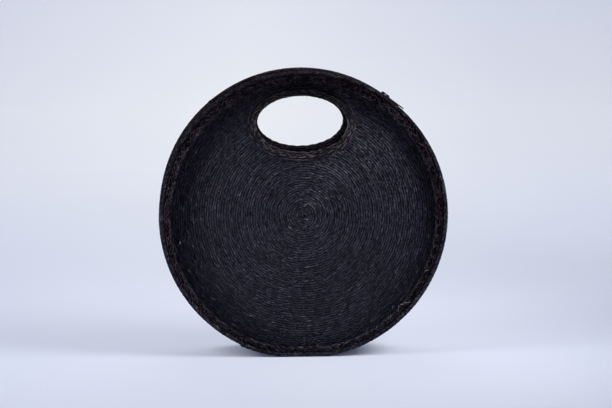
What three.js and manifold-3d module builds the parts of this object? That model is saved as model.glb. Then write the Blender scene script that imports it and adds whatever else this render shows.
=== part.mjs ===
// Round straw bag: a drum of coiled straw with an oval hand hole, flared plaited rims, a zip along the
// top of the side wall and a cotton lining. Millimetres, +Z up, front towards -Y, standing on z = 0.
import * as THREE from "three";
import { mergeVertices } from "three/addons/utils/BufferGeometryUtils.js";
import Module from "manifold-3d";

const wasm = await Module();
wasm.setup();

// Driving sizes of the drum
const BAG_RADIUS = 150;
const BAG_DEPTH = 70;
const FOOT_FLAT = 2;
const SEW_GAP = 0.3;

// Straw layers
const STRAW = 2.8;
const LINING = 0.8;
const LAYER_GAP = 0.4;

// Flared rim: crest on the outline, narrower over the mouth, and a wall running in and back to the panel
const RIM_CREST = 4;
const CREST_NARROWING = 1.6;
const RIM_ROUND = 1.6;
const RIM_THICKNESS = 3;
const RIM_FLARE = THREE.MathUtils.degToRad(28);
const RIM_BACK = 4;
const RIM_OVERHANG = 1.5;

// Panels lie deeper behind the rim at the top than at the bottom, and swell a little in the middle
const RECESS_MIDDLE = 12.3;
const RECESS_LEAN = 4.7;
const PANEL_SWELL = 6.5;
const SWELL_POWER = 4;

// Hand hole: front oval under the handle bar, and the back oval, a little smaller, lower and to the right
const HANDLE_BAR = 25.3;
const HOLE_HALF_WIDTH = 46.5;
const HOLE_HALF_HEIGHT = 28.5;
const HOLE_LEFT = 2;
const BACK_HOLE_SHRINK = 1.5;
const BACK_HOLE_RIGHT = 1;
const BACK_HOLE_DOWN = 1.5;
const SLEEVE_WALL = 2;
const TRIM_WIDTH = 10;
const TRIM_HEIGHT = 4.5;

// Zip in the top of the side wall
const MOUTH_HALF_ANGLE = THREE.MathUtils.degToRad(40);
const CHAIN_HALF_ANGLE = THREE.MathUtils.degToRad(37.5);
const MOUTH_SLOT = 14;
const TAPE = 1;
const TAPE_EDGE = 16;
const TAPE_TUCK = 6;
const TOOTH_PITCH = 3;
const TOOTH_TIP = 0.85;
const TOOTH_ROOT = 1.9;
const TOOTH_BASE = 3.2;
const TOOTH_THICKNESS = 2.4;
const STOP_LENGTH = 2.4;

// Slider and pull
const SLIDER_LENGTH = 12;
const SLIDER_FRONT_WIDTH = 10.4;
const SLIDER_BACK_WIDTH = 8.6;
const SLIDER_PLATE = 1.4;
const SLIDER_NOSE = 3;
const SLIDER_CHAMFER = 1;
const SLIDER_FLANGE = 0.8;
const SLIDER_NECK = 1;
const NECK_SETBACK = 0.2;
const BAIL_WIDTH = 2.4;
const BAIL_LENGTH = 10;
const BAIL_BAR = 1;
const BAIL_WINDOW = 2.2;
const PULL_THICKNESS = 1.2;
const PULL_LENGTH = 24;
const PULL_HALF_WIDTH = 3.2;
const PULL_EYE_LENGTH = 6;
const PULL_ARM_GAP = 0.7;
const PULL_DROOP = THREE.MathUtils.degToRad(1);

// Fineness of the curves
const RING_STEPS = 72;
const ARC_STEP = THREE.MathUtils.degToRad(3);
const OVAL_STEPS = 48;
const CREST_STEPS = 4;
const TRIM_STEPS = 6;
const PULL_STEPS = 10;
const PANEL_RINGS = 5;
const RING_CROWDING = 0.6;
const NEAR_SHARE = 1 / 3;
const MERGE_DISTANCE = 1e-4;

// Sizes that follow from the ones above
const CENTRE_Z = BAG_RADIUS - FOOT_FLAT;
const HALF_DEPTH = BAG_DEPTH / 2;
const FULL_TURN = 2 * Math.PI;
const FOOT_ANGLE = Math.acos(CENTRE_Z / BAG_RADIUS);
const RIM_SLOPE = Math.tan(RIM_FLARE);
const RIM_ACROSS = RIM_THICKNESS / Math.cos(RIM_FLARE);
const HOLE_HEIGHT = BAG_RADIUS - HANDLE_BAR - HOLE_HALF_HEIGHT;
const BAND_HALF = HALF_DEPTH - RIM_BACK - SEW_GAP;
const SLOT_HALF = MOUTH_SLOT / 2;
const TAPE_INSET = STRAW + SEW_GAP;
const CHAIN_MIDDLE = TAPE_INSET + TAPE / 2;
const CHAIN_RADIUS = BAG_RADIUS - CHAIN_MIDDLE;
const CHAIN_TOP = CHAIN_RADIUS + TOOTH_THICKNESS / 2;
const CHAIN_BOTTOM = CHAIN_RADIUS - TOOTH_THICKNESS / 2;
const LINING_INSET = BAG_RADIUS - CHAIN_BOTTOM + LAYER_GAP;
const FRONT = -1;
const BACK = 1;

const angleOf = (length) => length / CHAIN_RADIUS;

// Radius of the outline at an angle measured from the top, pressed flat at the foot
function outlineRadius(angle) {
  const down = -Math.cos(angle);
  return down * BAG_RADIUS > CENTRE_Z ? CENTRE_Z / down : BAG_RADIUS;
}

function steps(start, end, count) {
  return Array.from({ length: count + 1 }, (_, i) => start + ((end - start) * i) / count);
}

// Angles once round, with the two corners of the foot put in exactly
function ringAngles() {
  const corners = [Math.PI - FOOT_ANGLE, Math.PI + FOOT_ANGLE];
  const even = steps(0, FULL_TURN, RING_STEPS).slice(0, -1);
  const tooNear = (FULL_TURN / RING_STEPS) * NEAR_SHARE;
  const clear = even.filter((a) => corners.every((c) => Math.abs(a - c) > tooNear));
  return [...clear, ...corners].sort((a, b) => a - b);
}

function arcAngles(start, end) {
  return steps(start, end, Math.max(2, Math.ceil((end - start) / ARC_STEP)));
}

// Side wall angles from one end of the mouth round the bottom to the other end
function bandAngles() {
  const start = MOUTH_HALF_ANGLE;
  const end = FULL_TURN - MOUTH_HALF_ANGLE;
  const tooNear = ARC_STEP * NEAR_SHARE;
  const clear = ringAngles().filter((a) => a > start + tooNear && a < end - tooNear);
  return [start, ...clear, end];
}

function around(angle, radius, y) {
  return new THREE.Vector3(radius * Math.sin(angle), y, CENTRE_Z + radius * Math.cos(angle));
}

// Closed solid through a list of rings of points; a solid that doesn't close on itself gets end caps
function loft(rings, closed) {
  const count = rings[0].length;
  const positions = rings.flat().flatMap((p) => [p.x, p.y, p.z]);
  const faces = [];
  const last = closed ? rings.length : rings.length - 1;
  for (let i = 0; i < last; i++) {
    const next = (i + 1) % rings.length;
    for (let j = 0; j < count; j++) {
      const turn = (j + 1) % count;
      const corner = [i * count + j, next * count + j, next * count + turn, i * count + turn];
      faces.push([corner[0], corner[1], corner[2]], [corner[0], corner[2], corner[3]]);
    }
  }
  if (!closed) {
    const end = (rings.length - 1) * count;
    for (let j = 1; j < count - 1; j++) {
      faces.push([0, j, j + 1], [end, end + j + 1, end + j]);
    }
  }
  return facingOut(positions, faces);
}

function signedVolume(positions, faces) {
  const corner = (i) => new THREE.Vector3().fromArray(positions, 3 * i);
  const six = faces.map(([a, b, c]) => corner(a).dot(corner(b).cross(corner(c))));
  return six.reduce((sum, v) => sum + v, 0) / 6;
}

function facingOut(positions, faces) {
  const outward = signedVolume(positions, faces) > 0 ? faces : faces.map(([a, b, c]) => [a, c, b]);
  const geometry = new THREE.BufferGeometry();
  geometry.setAttribute("position", new THREE.Float32BufferAttribute(positions, 3));
  geometry.setIndex(outward.flat());
  return geometry;
}

// Sector of the side wall with a four-sided section: two radii by two depths
function bandSector(angles, insetOuter, insetInner, y0, y1) {
  const section = (a) => {
    const outer = outlineRadius(a) - insetOuter;
    const inner = outlineRadius(a) - insetInner;
    return [around(a, outer, y0), around(a, outer, y1), around(a, inner, y1), around(a, inner, y0)];
  };
  return angles.map(section);
}

function toManifold(geometry) {
  const bare = geometry.clone();
  bare.deleteAttribute("normal");
  bare.deleteAttribute("uv");
  const merged = mergeVertices(bare, MERGE_DISTANCE);
  const mesh = new wasm.Mesh({
    numProp: 3,
    vertProperties: new Float32Array(merged.attributes.position.array),
    triVerts: new Uint32Array(merged.index.array),
  });
  return new wasm.Manifold(mesh);
}

function toGeometry(manifold) {
  const mesh = manifold.getMesh();
  const geometry = new THREE.BufferGeometry();
  geometry.setAttribute("position", new THREE.Float32BufferAttribute(mesh.vertProperties, 3));
  geometry.setIndex([...mesh.triVerts]);
  return geometry;
}

function joined(geometries) {
  const solids = geometries.map(toManifold);
  return toGeometry(solids.reduce((all, solid) => all.add(solid)));
}

function cut(geometry, tool) {
  return toGeometry(toManifold(geometry).subtract(toManifold(tool)));
}

function block(x0, x1, y0, y1, z0, z1) {
  const box = new THREE.BoxGeometry(x1 - x0, y1 - y0, z1 - z0);
  return box.translate((x0 + x1) / 2, (y0 + y1) / 2, (z0 + z1) / 2);
}

// Width of the rim's crest at an angle from the top
const crestAt = (angle) => RIM_CREST - CREST_NARROWING * ((1 + Math.cos(angle)) / 2) ** 2;

// Depth of a panel's edge behind the crest of the rim, at a height above the middle of the bag
const recessAt = (height) => RECESS_MIDDLE + (RECESS_LEAN * height) / BAG_RADIUS;

// Radius where the leaning panel, at some depth behind its outer face, meets the flared rim
function panelEdge(angle, behind) {
  const wall = outlineRadius(angle) - crestAt(angle) - SEW_GAP / Math.cos(RIM_FLARE);
  const level = wall - RIM_SLOPE * (RECESS_MIDDLE + behind);
  return level / (1 + (RIM_SLOPE * RECESS_LEAN * Math.cos(angle)) / BAG_RADIUS);
}

// Distance of a panel's outer face from the middle plane of the bag
function panelFace(angle, radius) {
  const share = Math.min(1, radius / panelEdge(angle, 0));
  return HALF_DEPTH - recessAt(radius * Math.cos(angle)) + PANEL_SWELL * (1 - share ** SWELL_POWER);
}

function panelFaceAt(x, z) {
  return panelFace(Math.atan2(x, z - CENTRE_Z), Math.hypot(x, z - CENTRE_Z));
}

// Dished disc between two depths behind the panel's outer face
function dishedDisc(side, behindOuter, behindInner, edgeGap) {
  const angles = ringAngles();
  const ring = (share, behind) => angles.map((a) => {
    const radius = share * (panelEdge(a, behind) - edgeGap);
    return around(a, radius, side * (panelFace(a, radius) - behind));
  });
  const shares = steps(0, 1, PANEL_RINGS).slice(1).map((share) => share ** RING_CROWDING);
  const outer = shares.map((share) => ring(share, behindOuter));
  const inner = shares.map((share) => ring(share, behindInner)).reverse();
  const rings = [...outer, ...inner];
  const count = angles.length;
  const middle = rings.length * count;
  const middles = [behindOuter, behindInner].map((b) => around(0, 0, side * (panelFace(0, 0) - b)));
  const positions = [...rings.flat(), ...middles].flatMap((p) => [p.x, p.y, p.z]);
  const faces = [];
  const lastRing = (rings.length - 1) * count;
  for (let j = 0; j < count; j++) {
    const turn = (j + 1) % count;
    faces.push([middle, j, turn], [middle + 1, lastRing + turn, lastRing + j]);
    for (let i = 0; i < rings.length - 1; i++) {
      const near = i * count;
      const far = near + count;
      faces.push([near + j, far + j, far + turn], [near + j, far + turn, near + turn]);
    }
  }
  return facingOut(positions, faces);
}

// Point on the hand hole's wall: the oval drifts from the front hole to the back hole
function holePoint(turn, y, out) {
  const share = (y + HALF_DEPTH) / BAG_DEPTH;
  const halfWidth = HOLE_HALF_WIDTH - BACK_HOLE_SHRINK * share;
  const halfHeight = HOLE_HALF_HEIGHT - BACK_HOLE_SHRINK * share;
  const slope = Math.hypot(halfHeight * Math.cos(turn), halfWidth * Math.sin(turn));
  const x = halfWidth * Math.cos(turn) + (out * halfHeight * Math.cos(turn)) / slope;
  const z = halfHeight * Math.sin(turn) + (out * halfWidth * Math.sin(turn)) / slope;
  const shift = BACK_HOLE_RIGHT * share - HOLE_LEFT;
  const lift = CENTRE_Z + HOLE_HEIGHT - BACK_HOLE_DOWN * share;
  return new THREE.Vector3(shift + x, y, lift + z);
}

const ovalTurns = steps(0, FULL_TURN, OVAL_STEPS).slice(0, -1);

// Tool that opens a panel or lining for the sleeve
function holeTool(gap) {
  const reach = HALF_DEPTH + TRIM_HEIGHT;
  const ring = (y) => ovalTurns.map((turn) => holePoint(turn, y, SLEEVE_WALL + gap));
  return loft([ring(-reach), ring(reach)], false);
}

// Point of the hole's wall level with a panel's outer face
function holeOnFace(turn, side, out) {
  const guess = holePoint(turn, side * HALF_DEPTH, out);
  return holePoint(turn, side * panelFaceAt(guess.x, guess.z), out);
}

function handleSleeve() {
  const rings = ovalTurns.map((turn) => [
    holeOnFace(turn, FRONT, 0),
    holeOnFace(turn, FRONT, SLEEVE_WALL),
    holeOnFace(turn, BACK, SLEEVE_WALL),
    holeOnFace(turn, BACK, 0),
  ]);
  return loft(rings, true);
}

// Plait round the hand hole, a half-round roll lying on the panel
function handleTrim(side) {
  const half = TRIM_WIDTH / 2;
  const rise = TRIM_HEIGHT - LAYER_GAP;
  const rollPoint = (t) => [half - half * Math.cos(t), LAYER_GAP + rise * Math.sin(t)];
  const roll = steps(0, Math.PI, TRIM_STEPS).map(rollPoint);
  const section = [...roll, [half, LAYER_GAP]];
  const rings = ovalTurns.map((turn) => section.map(([out, up]) => {
    const spot = holeOnFace(turn, side, out);
    return spot.setY(spot.y + side * up);
  }));
  return loft(rings, true);
}

// Depth of the rim's foot, which reaches just behind the panel's edge
const rimFoot = (angle) => recessAt(panelEdge(angle, 0) * Math.cos(angle)) + STRAW + RIM_OVERHANG;

// How far inside the outline the wall of the rim lies, at a depth behind its crest
const wallInset = (angle, depth) => crestAt(angle) + RIM_SLOPE * depth;

// How far inside the outline the back of the rim starts, clear of the side wall
const shoulderInset = (angle) => Math.max(STRAW + LAYER_GAP, wallInset(angle, RIM_BACK) - RIM_ACROSS);

// Flared rim with a rounded crest
function rimBraid(side) {
  const rings = ringAngles().map((a) => {
    const crest = outlineRadius(a);
    const foot = rimFoot(a);
    const wall = (depth) => crest - wallInset(a, depth);
    const half = (crest - wall(RIM_ROUND)) / 2;
    const rounding = steps(0, Math.PI, CREST_STEPS);
    const section = [
      [crest, RIM_BACK],
      ...rounding.map((t) => [crest - half + half * Math.cos(t), RIM_ROUND - RIM_ROUND * Math.sin(t)]),
      [wall(foot), foot],
      [wall(foot) + RIM_ACROSS, foot],
      [crest - shoulderInset(a), RIM_BACK],
    ];
    return section.map(([radius, depth]) => around(a, radius, side * (HALF_DEPTH - depth)));
  });
  return loft(rings, true);
}

function mouthBand(side) {
  const end = MOUTH_HALF_ANGLE - SEW_GAP / BAG_RADIUS;
  return loft(bandSector(arcAngles(-end, end), 0, STRAW, side * SLOT_HALF, side * BAND_HALF), false);
}

function zipTape(side) {
  const end = MOUTH_HALF_ANGLE + angleOf(TAPE_TUCK);
  const edge = side * (TOOTH_BASE + SEW_GAP);
  const angles = arcAngles(-end, end);
  return loft(bandSector(angles, TAPE_INSET, TAPE_INSET + TAPE, edge, side * TAPE_EDGE), false);
}

// One row of teeth: a bead along the tape's edge that swells into a point at each tooth
function zipTeeth(side) {
  const count = 2 * Math.floor(CHAIN_HALF_ANGLE / angleOf(TOOTH_PITCH)) + 1;
  const angles = steps(-CHAIN_HALF_ANGLE, CHAIN_HALF_ANGLE, 2 * count);
  const rings = angles.map((a, i) => {
    const point = i % 2 ? TOOTH_TIP : TOOTH_ROOT;
    return [
      around(a, CHAIN_TOP, side * point),
      around(a, CHAIN_TOP, side * TOOTH_BASE),
      around(a, CHAIN_BOTTOM, side * TOOTH_BASE),
      around(a, CHAIN_BOTTOM, side * point),
    ];
  });
  return loft(rings, false);
}

// Metal stop lying across part of the chain, just past its last tooth
function zipStop(angle, y0, y1) {
  const half = STOP_LENGTH / 2;
  const stop = block(-half, half, y0, y1, CHAIN_BOTTOM, CHAIN_TOP);
  return stop.rotateY(angle).translate(0, 0, CENTRE_Z);
}

// Ring of lining inside the side wall, as wide as the backs of the flared rims allow, open along the mouth
function sideLining() {
  const foot = rimFoot(0);
  const shoulder = shoulderInset(0);
  const backSlope = (wallInset(0, foot) - RIM_ACROSS - shoulder) / (foot - RIM_BACK);
  const rimBackDepth = RIM_BACK + (LINING_INSET + LINING - shoulder) / backSlope;
  const half = HALF_DEPTH - rimBackDepth - LAYER_GAP;
  const ring = loft(bandSector(ringAngles(), LINING_INSET, LINING_INSET + LINING, -half, half), true);
  const end = BAG_RADIUS * Math.sin(MOUTH_HALF_ANGLE);
  const mouth = block(-end, end, -SLOT_HALF, SLOT_HALF, CENTRE_Z, CENTRE_Z + BAG_RADIUS);
  return cut(ring, mouth);
}

const STOP_ANGLE = CHAIN_HALF_ANGLE + angleOf(STOP_LENGTH / 2 + SEW_GAP);
const SLIDER_ANGLE = CHAIN_HALF_ANGLE - angleOf(SLIDER_LENGTH / 2 - SEW_GAP);
const PLATE_UNDER = CHAIN_TOP + LAYER_GAP;
const PLATE_TOP = PLATE_UNDER + SLIDER_PLATE;
const PIVOT_RADIUS = PLATE_TOP + BAIL_WINDOW / 2;

// Plan of the slider: broad nose towards the open end, narrower tail round the closed teeth
function sliderPlate(low, high) {
  const half = SLIDER_LENGTH / 2;
  const nose = SLIDER_FRONT_WIDTH / 2;
  const tail = SLIDER_BACK_WIDTH / 2;
  const plan = new THREE.Shape();
  plan.moveTo(-half, -tail + SLIDER_CHAMFER);
  plan.lineTo(-half + SLIDER_CHAMFER, -tail);
  plan.lineTo(0, -tail);
  plan.lineTo(half - SLIDER_NOSE, -nose);
  plan.lineTo(half - SLIDER_CHAMFER, -nose);
  plan.lineTo(half, -nose + SLIDER_CHAMFER);
  plan.lineTo(half, nose - SLIDER_CHAMFER);
  plan.lineTo(half - SLIDER_CHAMFER, nose);
  plan.lineTo(half - SLIDER_NOSE, nose);
  plan.lineTo(0, tail);
  plan.lineTo(-half + SLIDER_CHAMFER, tail);
  plan.lineTo(-half, tail - SLIDER_CHAMFER);
  return new THREE.ExtrudeGeometry(plan, { depth: high - low, bevelEnabled: false }).translate(0, 0, low);
}

// Arch on the slider that holds the pull, drawn in its side view
function sliderBail() {
  const half = BAIL_LENGTH / 2;
  const low = PLATE_TOP - SLIDER_PLATE / 2;
  const under = PLATE_TOP + BAIL_WINDOW;
  const high = under + BAIL_BAR;
  const arch = new THREE.Shape();
  arch.moveTo(-half, low);
  arch.lineTo(-half, under);
  arch.lineTo(-half + BAIL_BAR, high);
  arch.lineTo(half - BAIL_BAR, high);
  arch.lineTo(half, under);
  arch.lineTo(half, low);
  arch.lineTo(half - BAIL_BAR, low);
  arch.lineTo(half - BAIL_BAR, under);
  arch.lineTo(-half + BAIL_BAR, under);
  arch.lineTo(-half + BAIL_BAR, low);
  const bail = new THREE.ExtrudeGeometry(arch, { depth: BAIL_WIDTH, bevelEnabled: false });
  return bail.translate(0, 0, -BAIL_WIDTH / 2).rotateX(Math.PI / 2);
}

function zipSlider() {
  const plateOver = CHAIN_BOTTOM - LAYER_GAP;
  const plateLow = plateOver - SLIDER_PLATE;
  const half = SLIDER_LENGTH / 2;
  const tapeTop = CHAIN_RADIUS + TAPE / 2 + LAYER_GAP;
  const tapeUnder = CHAIN_RADIUS - TAPE / 2 - LAYER_GAP;
  const edge = SLIDER_BACK_WIDTH / 2;
  const inner = edge - SLIDER_FLANGE;
  const overlap = SLIDER_PLATE / 2;
  const neck = SLIDER_NECK / 2;
  const pieces = [
    sliderPlate(PLATE_UNDER, PLATE_TOP),
    sliderPlate(plateLow, plateOver),
    block(half - SLIDER_NOSE, half - NECK_SETBACK, -neck, neck, plateLow, PLATE_TOP),
    sliderBail(),
  ];
  for (const side of [FRONT, BACK]) {
    const [y0, y1] = [side * inner, side * edge].sort((a, b) => a - b);
    pieces.push(block(-half + SLIDER_CHAMFER, 0, y0, y1, tapeTop, PLATE_UNDER + overlap));
    pieces.push(block(-half + SLIDER_CHAMFER, 0, y0, y1, plateOver - overlap, tapeUnder));
  }
  return joined(pieces).rotateY(SLIDER_ANGLE).translate(0, 0, CENTRE_Z);
}

// Pull tab: rounded tongue with an eye, hung on the bail by the bar at its end
function zipPull() {
  const bar = PULL_THICKNESS / 2;
  const armGap = BAIL_WIDTH / 2 + PULL_ARM_GAP;
  const tongue = new THREE.Shape();
  tongue.moveTo(-bar, -PULL_HALF_WIDTH);
  tongue.lineTo(PULL_LENGTH - PULL_HALF_WIDTH, -PULL_HALF_WIDTH);
  tongue.absarc(PULL_LENGTH - PULL_HALF_WIDTH, 0, PULL_HALF_WIDTH, -Math.PI / 2, Math.PI / 2);
  tongue.lineTo(-bar, PULL_HALF_WIDTH);
  const eye = new THREE.Path();
  eye.moveTo(bar, -armGap);
  eye.lineTo(bar, armGap);
  eye.lineTo(bar + PULL_EYE_LENGTH, armGap);
  eye.lineTo(bar + PULL_EYE_LENGTH, -armGap);
  tongue.holes.push(eye);
  const flat = { depth: PULL_THICKNESS, bevelEnabled: false, curveSegments: PULL_STEPS };
  const pull = new THREE.ExtrudeGeometry(tongue, flat).translate(0, 0, -bar);
  pull.rotateY(PULL_DROOP).translate(0, 0, PIVOT_RADIUS);
  return pull.rotateY(SLIDER_ANGLE).translate(0, 0, CENTRE_Z);
}

const STRAW_BLACK = { color: 0x24232b, roughness: 0.75, metalness: 0 };
const PLAIT_BLACK = { color: 0x2a2426, roughness: 0.7, metalness: 0 };
const COTTON = { color: 0x1a1a20, roughness: 0.95, metalness: 0 };
const TAPE_BLACK = { color: 0x141418, roughness: 0.9, metalness: 0 };
const NYLON = { color: 0x18181b, roughness: 0.45, metalness: 0 };
const BLACK_METAL = { color: 0x202022, roughness: 0.35, metalness: 0.8 };

const bag = new THREE.Group();

function place(name, geometry, finish) {
  const mesh = new THREE.Mesh(geometry, new THREE.MeshStandardMaterial(finish));
  mesh.name = name;
  bag.add(mesh);
}

place("side_band", loft(bandSector(bandAngles(), 0, STRAW, -BAND_HALF, BAND_HALF), false), STRAW_BLACK);
place("side_lining", sideLining(), COTTON);
place("handle_sleeve", handleSleeve(), PLAIT_BLACK);
for (const [prefix, side] of [["front", FRONT], ["back", BACK]]) {
  const liningOuter = STRAW + LAYER_GAP;
  const lining = dishedDisc(side, liningOuter, liningOuter + LINING, RIM_ACROSS);
  place(`${prefix}_panel`, cut(dishedDisc(side, 0, STRAW, 0), holeTool(SEW_GAP)), STRAW_BLACK);
  place(`${prefix}_lining`, cut(lining, holeTool(LAYER_GAP)), COTTON);
  place(`${prefix}_rim_braid`, rimBraid(side), PLAIT_BLACK);
  place(`${prefix}_handle_trim`, handleTrim(side), PLAIT_BLACK);
  place(`${prefix}_mouth_band`, mouthBand(side), STRAW_BLACK);
  place(`${prefix}_zip_tape`, zipTape(side), TAPE_BLACK);
  place(`${prefix}_zip_teeth`, zipTeeth(side), NYLON);
  const [y0, y1] = [side * TOOTH_TIP, side * TOOTH_BASE].sort((a, b) => a - b);
  place(`${prefix}_zip_stop`, zipStop(STOP_ANGLE, y0, y1), BLACK_METAL);
}
place("zip_end_stop", zipStop(-STOP_ANGLE, -TOOTH_BASE, TOOTH_BASE), BLACK_METAL);
place("zip_slider", zipSlider(), BLACK_METAL);
place("zip_pull", zipPull(), BLACK_METAL);

export default bag;
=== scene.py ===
import math

import bmesh
import bpy
import numpy as np
from bpy.props import FloatProperty, FloatVectorProperty, IntProperty, PointerProperty
from mathutils import Matrix, Vector


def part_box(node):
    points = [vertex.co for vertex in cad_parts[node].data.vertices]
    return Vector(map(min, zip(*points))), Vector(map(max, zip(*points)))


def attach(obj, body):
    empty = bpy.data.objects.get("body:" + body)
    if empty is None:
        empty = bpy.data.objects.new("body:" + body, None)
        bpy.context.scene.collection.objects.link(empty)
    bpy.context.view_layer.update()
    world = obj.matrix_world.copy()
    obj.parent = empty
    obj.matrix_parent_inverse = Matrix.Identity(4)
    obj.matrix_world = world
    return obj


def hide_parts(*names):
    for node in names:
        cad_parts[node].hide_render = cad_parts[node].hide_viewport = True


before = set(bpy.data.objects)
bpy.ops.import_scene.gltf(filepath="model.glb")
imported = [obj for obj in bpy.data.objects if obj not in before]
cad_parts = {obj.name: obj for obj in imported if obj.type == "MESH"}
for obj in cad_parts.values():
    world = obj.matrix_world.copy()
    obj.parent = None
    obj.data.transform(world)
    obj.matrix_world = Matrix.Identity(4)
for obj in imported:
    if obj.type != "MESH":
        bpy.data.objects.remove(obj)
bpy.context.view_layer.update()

bl_info = {
    "name": "Round straw bag",
    "version": (1, 0, 0),
    "blender": (4, 5, 0),
    "location": "View3D > Sidebar > Straw bag",
    "description": "Dresses the solids of a round straw bag with coiled and plaited straw, zip and lining",
    "category": "Object",
}

# Places and sizes read from the frame, in metres
RIM_LOW, RIM_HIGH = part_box("front_rim_braid")
BAG_RADIUS = (RIM_HIGH.x - RIM_LOW.x) / 2
CENTRE_Z = RIM_HIGH.z - BAG_RADIUS
HALF_DEPTH = -RIM_LOW.y
BAND_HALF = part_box("side_band")[1].y
BAND_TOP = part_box("side_band")[1].z
SLOT_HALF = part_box("back_mouth_band")[0].y
MOUTH_HALF_ANGLE = math.acos((BAND_TOP - CENTRE_Z) / BAG_RADIUS)
TEETH_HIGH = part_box("back_zip_teeth")[1]
CHAIN_TOP_RADIUS = TEETH_HIGH.z - CENTRE_Z
CHAIN_HALF_ANGLE = math.asin(TEETH_HIGH.x / CHAIN_TOP_RADIUS)

FULL_TURN = 2 * math.pi
FRONT, BACK = -1, 1
SIDES = (("front", FRONT), ("back", BACK))
SEED = 11

# Distances within which points become one, in a piece and in a copy of a solid
MERGE_DISTANCE, SOLID_MERGE_DISTANCE = 1e-7, 1e-6

# No point of a piece lies lower than this
FLOOR_CLEARANCE = 0.0001


# Properties that a user would change

def a_length(name, description, default):
    return FloatProperty(name=name, description=description, default=default, unit="LENGTH")


def an_angle(name, description, degrees):
    return FloatProperty(name=name, description=description, default=math.radians(degrees), subtype="ANGLE")


def a_share(name, description, default):
    return FloatProperty(name=name, description=description, default=default, subtype="FACTOR")


def a_colour(name, description, default):
    return FloatVectorProperty(name=name, description=description, default=default, subtype="COLOR", size=3)


class StrawBagSizes(bpy.types.PropertyGroup):
    """Sizes of the straw work and of the zip, in metres and radians."""

    row_pitch: a_length("Row pitch", "Distance between neighbouring rows of the sewn plait", 0.0025)
    row_height: a_length("Row height", "How far a row of plait rises above its stitched edges", 0.0013)
    row_overlap: a_share("Row overlap", "Width of a row over the pitch, so that edges overlap", 1.12)
    plait_step: a_length("Plait step", "Distance between sections along a row", 0.00125)
    sections_per_stitch: IntProperty(
        name="Sections per crossing", description="Sections along one crossing of the fine plait",
        default=4)
    recess_middle: a_length("Recess", "Depth of the panel's edge behind the rim at mid height", 0.0123)
    recess_lean: a_length("Recess lean", "Extra depth at the top, and less at the bottom", 0.0047)
    panel_swell: a_length("Panel swell", "How far a panel's middle stands in front of its edge", 0.0065)
    rim_crest: a_length("Rim crest", "Width of the rim's rounded crest at the foot of the bag", 0.004)
    rim_crest_narrowing: a_length(
        "Rim crest narrowing", "How much narrower that crest is at the top of the bag", 0.0016)
    rim_flare: an_angle("Rim flare", "Lean of the rim's wall away from the bag's axis", 28)
    strand_step: a_length("Strand step", "Distance between sections along a broad plait's strand", 0.0009)
    rim_period: a_length(
        "Wall plait period", "Length in which a strand of the rim's wall crosses and returns", 0.030)
    crest_period: a_length("Crest plait period", "The same length for the plait on the crest", 0.0066)
    trim_period: a_length("Hole plait period", "The same length for the plait round the hand hole", 0.042)
    crest_width: a_length(
        "Crest plait width", "Width of the plait on the rim's crest at the foot of the bag", 0.0056)
    crest_narrowing: a_length(
        "Crest narrowing", "How much narrower the crest plait is at the top of the bag", 0.0026)
    lap_angle: an_angle("Lap place", "Angle from the top where the crest plait ends, over its start", 206)
    lap_taper: an_angle("Lap taper", "Angle over which the plait climbs to its lapped end", 14)
    lap_rise: a_length("Lap rise", "How far the lapped end stands out", 0.0014)
    brow_width: a_length(
        "Brow width", "Least width of the dark row between the crest plait and the wall", 0.0004)
    root_width: a_length(
        "Root plait width", "Width of the row of plait where the rim meets the panel", 0.0036)
    root_period: a_length(
        "Root plait period", "Length in which a strand of that row crosses and returns", 0.010)
    cord_thickness: a_length(
        "Cord thickness", "Thickness of the twisted cord round the plait of the hand hole", 0.0021)
    cord_period: a_length("Cord period", "Length of one full turn of the twisted cord", 0.011)
    hole_height: a_length(
        "Hand hole height", "Centre of the front hand hole above the bag's middle", 0.0962)
    hole_half_width: a_length("Hand hole half width", "Half the width of the front hand hole", 0.0465)
    hole_half_height: a_length("Hand hole half height", "Half the height of the front hand hole", 0.0285)
    hole_left: a_length(
        "Hand hole left", "Centre of the front hand hole to the left of the bag's middle", 0.002)
    back_hole_shrink: a_length(
        "Back hole shrink", "How much smaller each half size of the back hole is", 0.0015)
    back_hole_right: a_length(
        "Back hole right", "Shift of the back hole to the right of the front one", 0.001)
    back_hole_down: a_length("Back hole down", "Drop of the back hole under the front one", 0.0015)
    trim_width: a_length("Hole plait width", "Width of the plait and cord round the hand hole", 0.010)
    trim_height: a_length("Hole plait height", "Thickness of the plait round the hand hole", 0.0045)
    sleeve_tuck: a_length(
        "Sleeve tuck", "How far the sleeve's outermost rows are drawn back behind the trims", 0.0012)
    tooth_pitch: a_length("Tooth pitch", "Distance between zip teeth on one tape", 0.003)
    tooth_tip: a_length(
        "Tooth tip", "Distance of a tooth from the middle, clear of the slider's neck", 0.0006)
    slider_length: a_length("Slider length", "Length of the zip's slider along the chain", 0.012)
    sew_gap: a_length("Sewing gap", "Room between pieces that are sewn edge to edge", 0.0003)
    bail_window: a_length("Bail window", "Height of the opening under the slider's bail", 0.0022)
    bail_rise: a_length("Bail rise", "Middle of that opening above the top of the chain", 0.0029)


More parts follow.
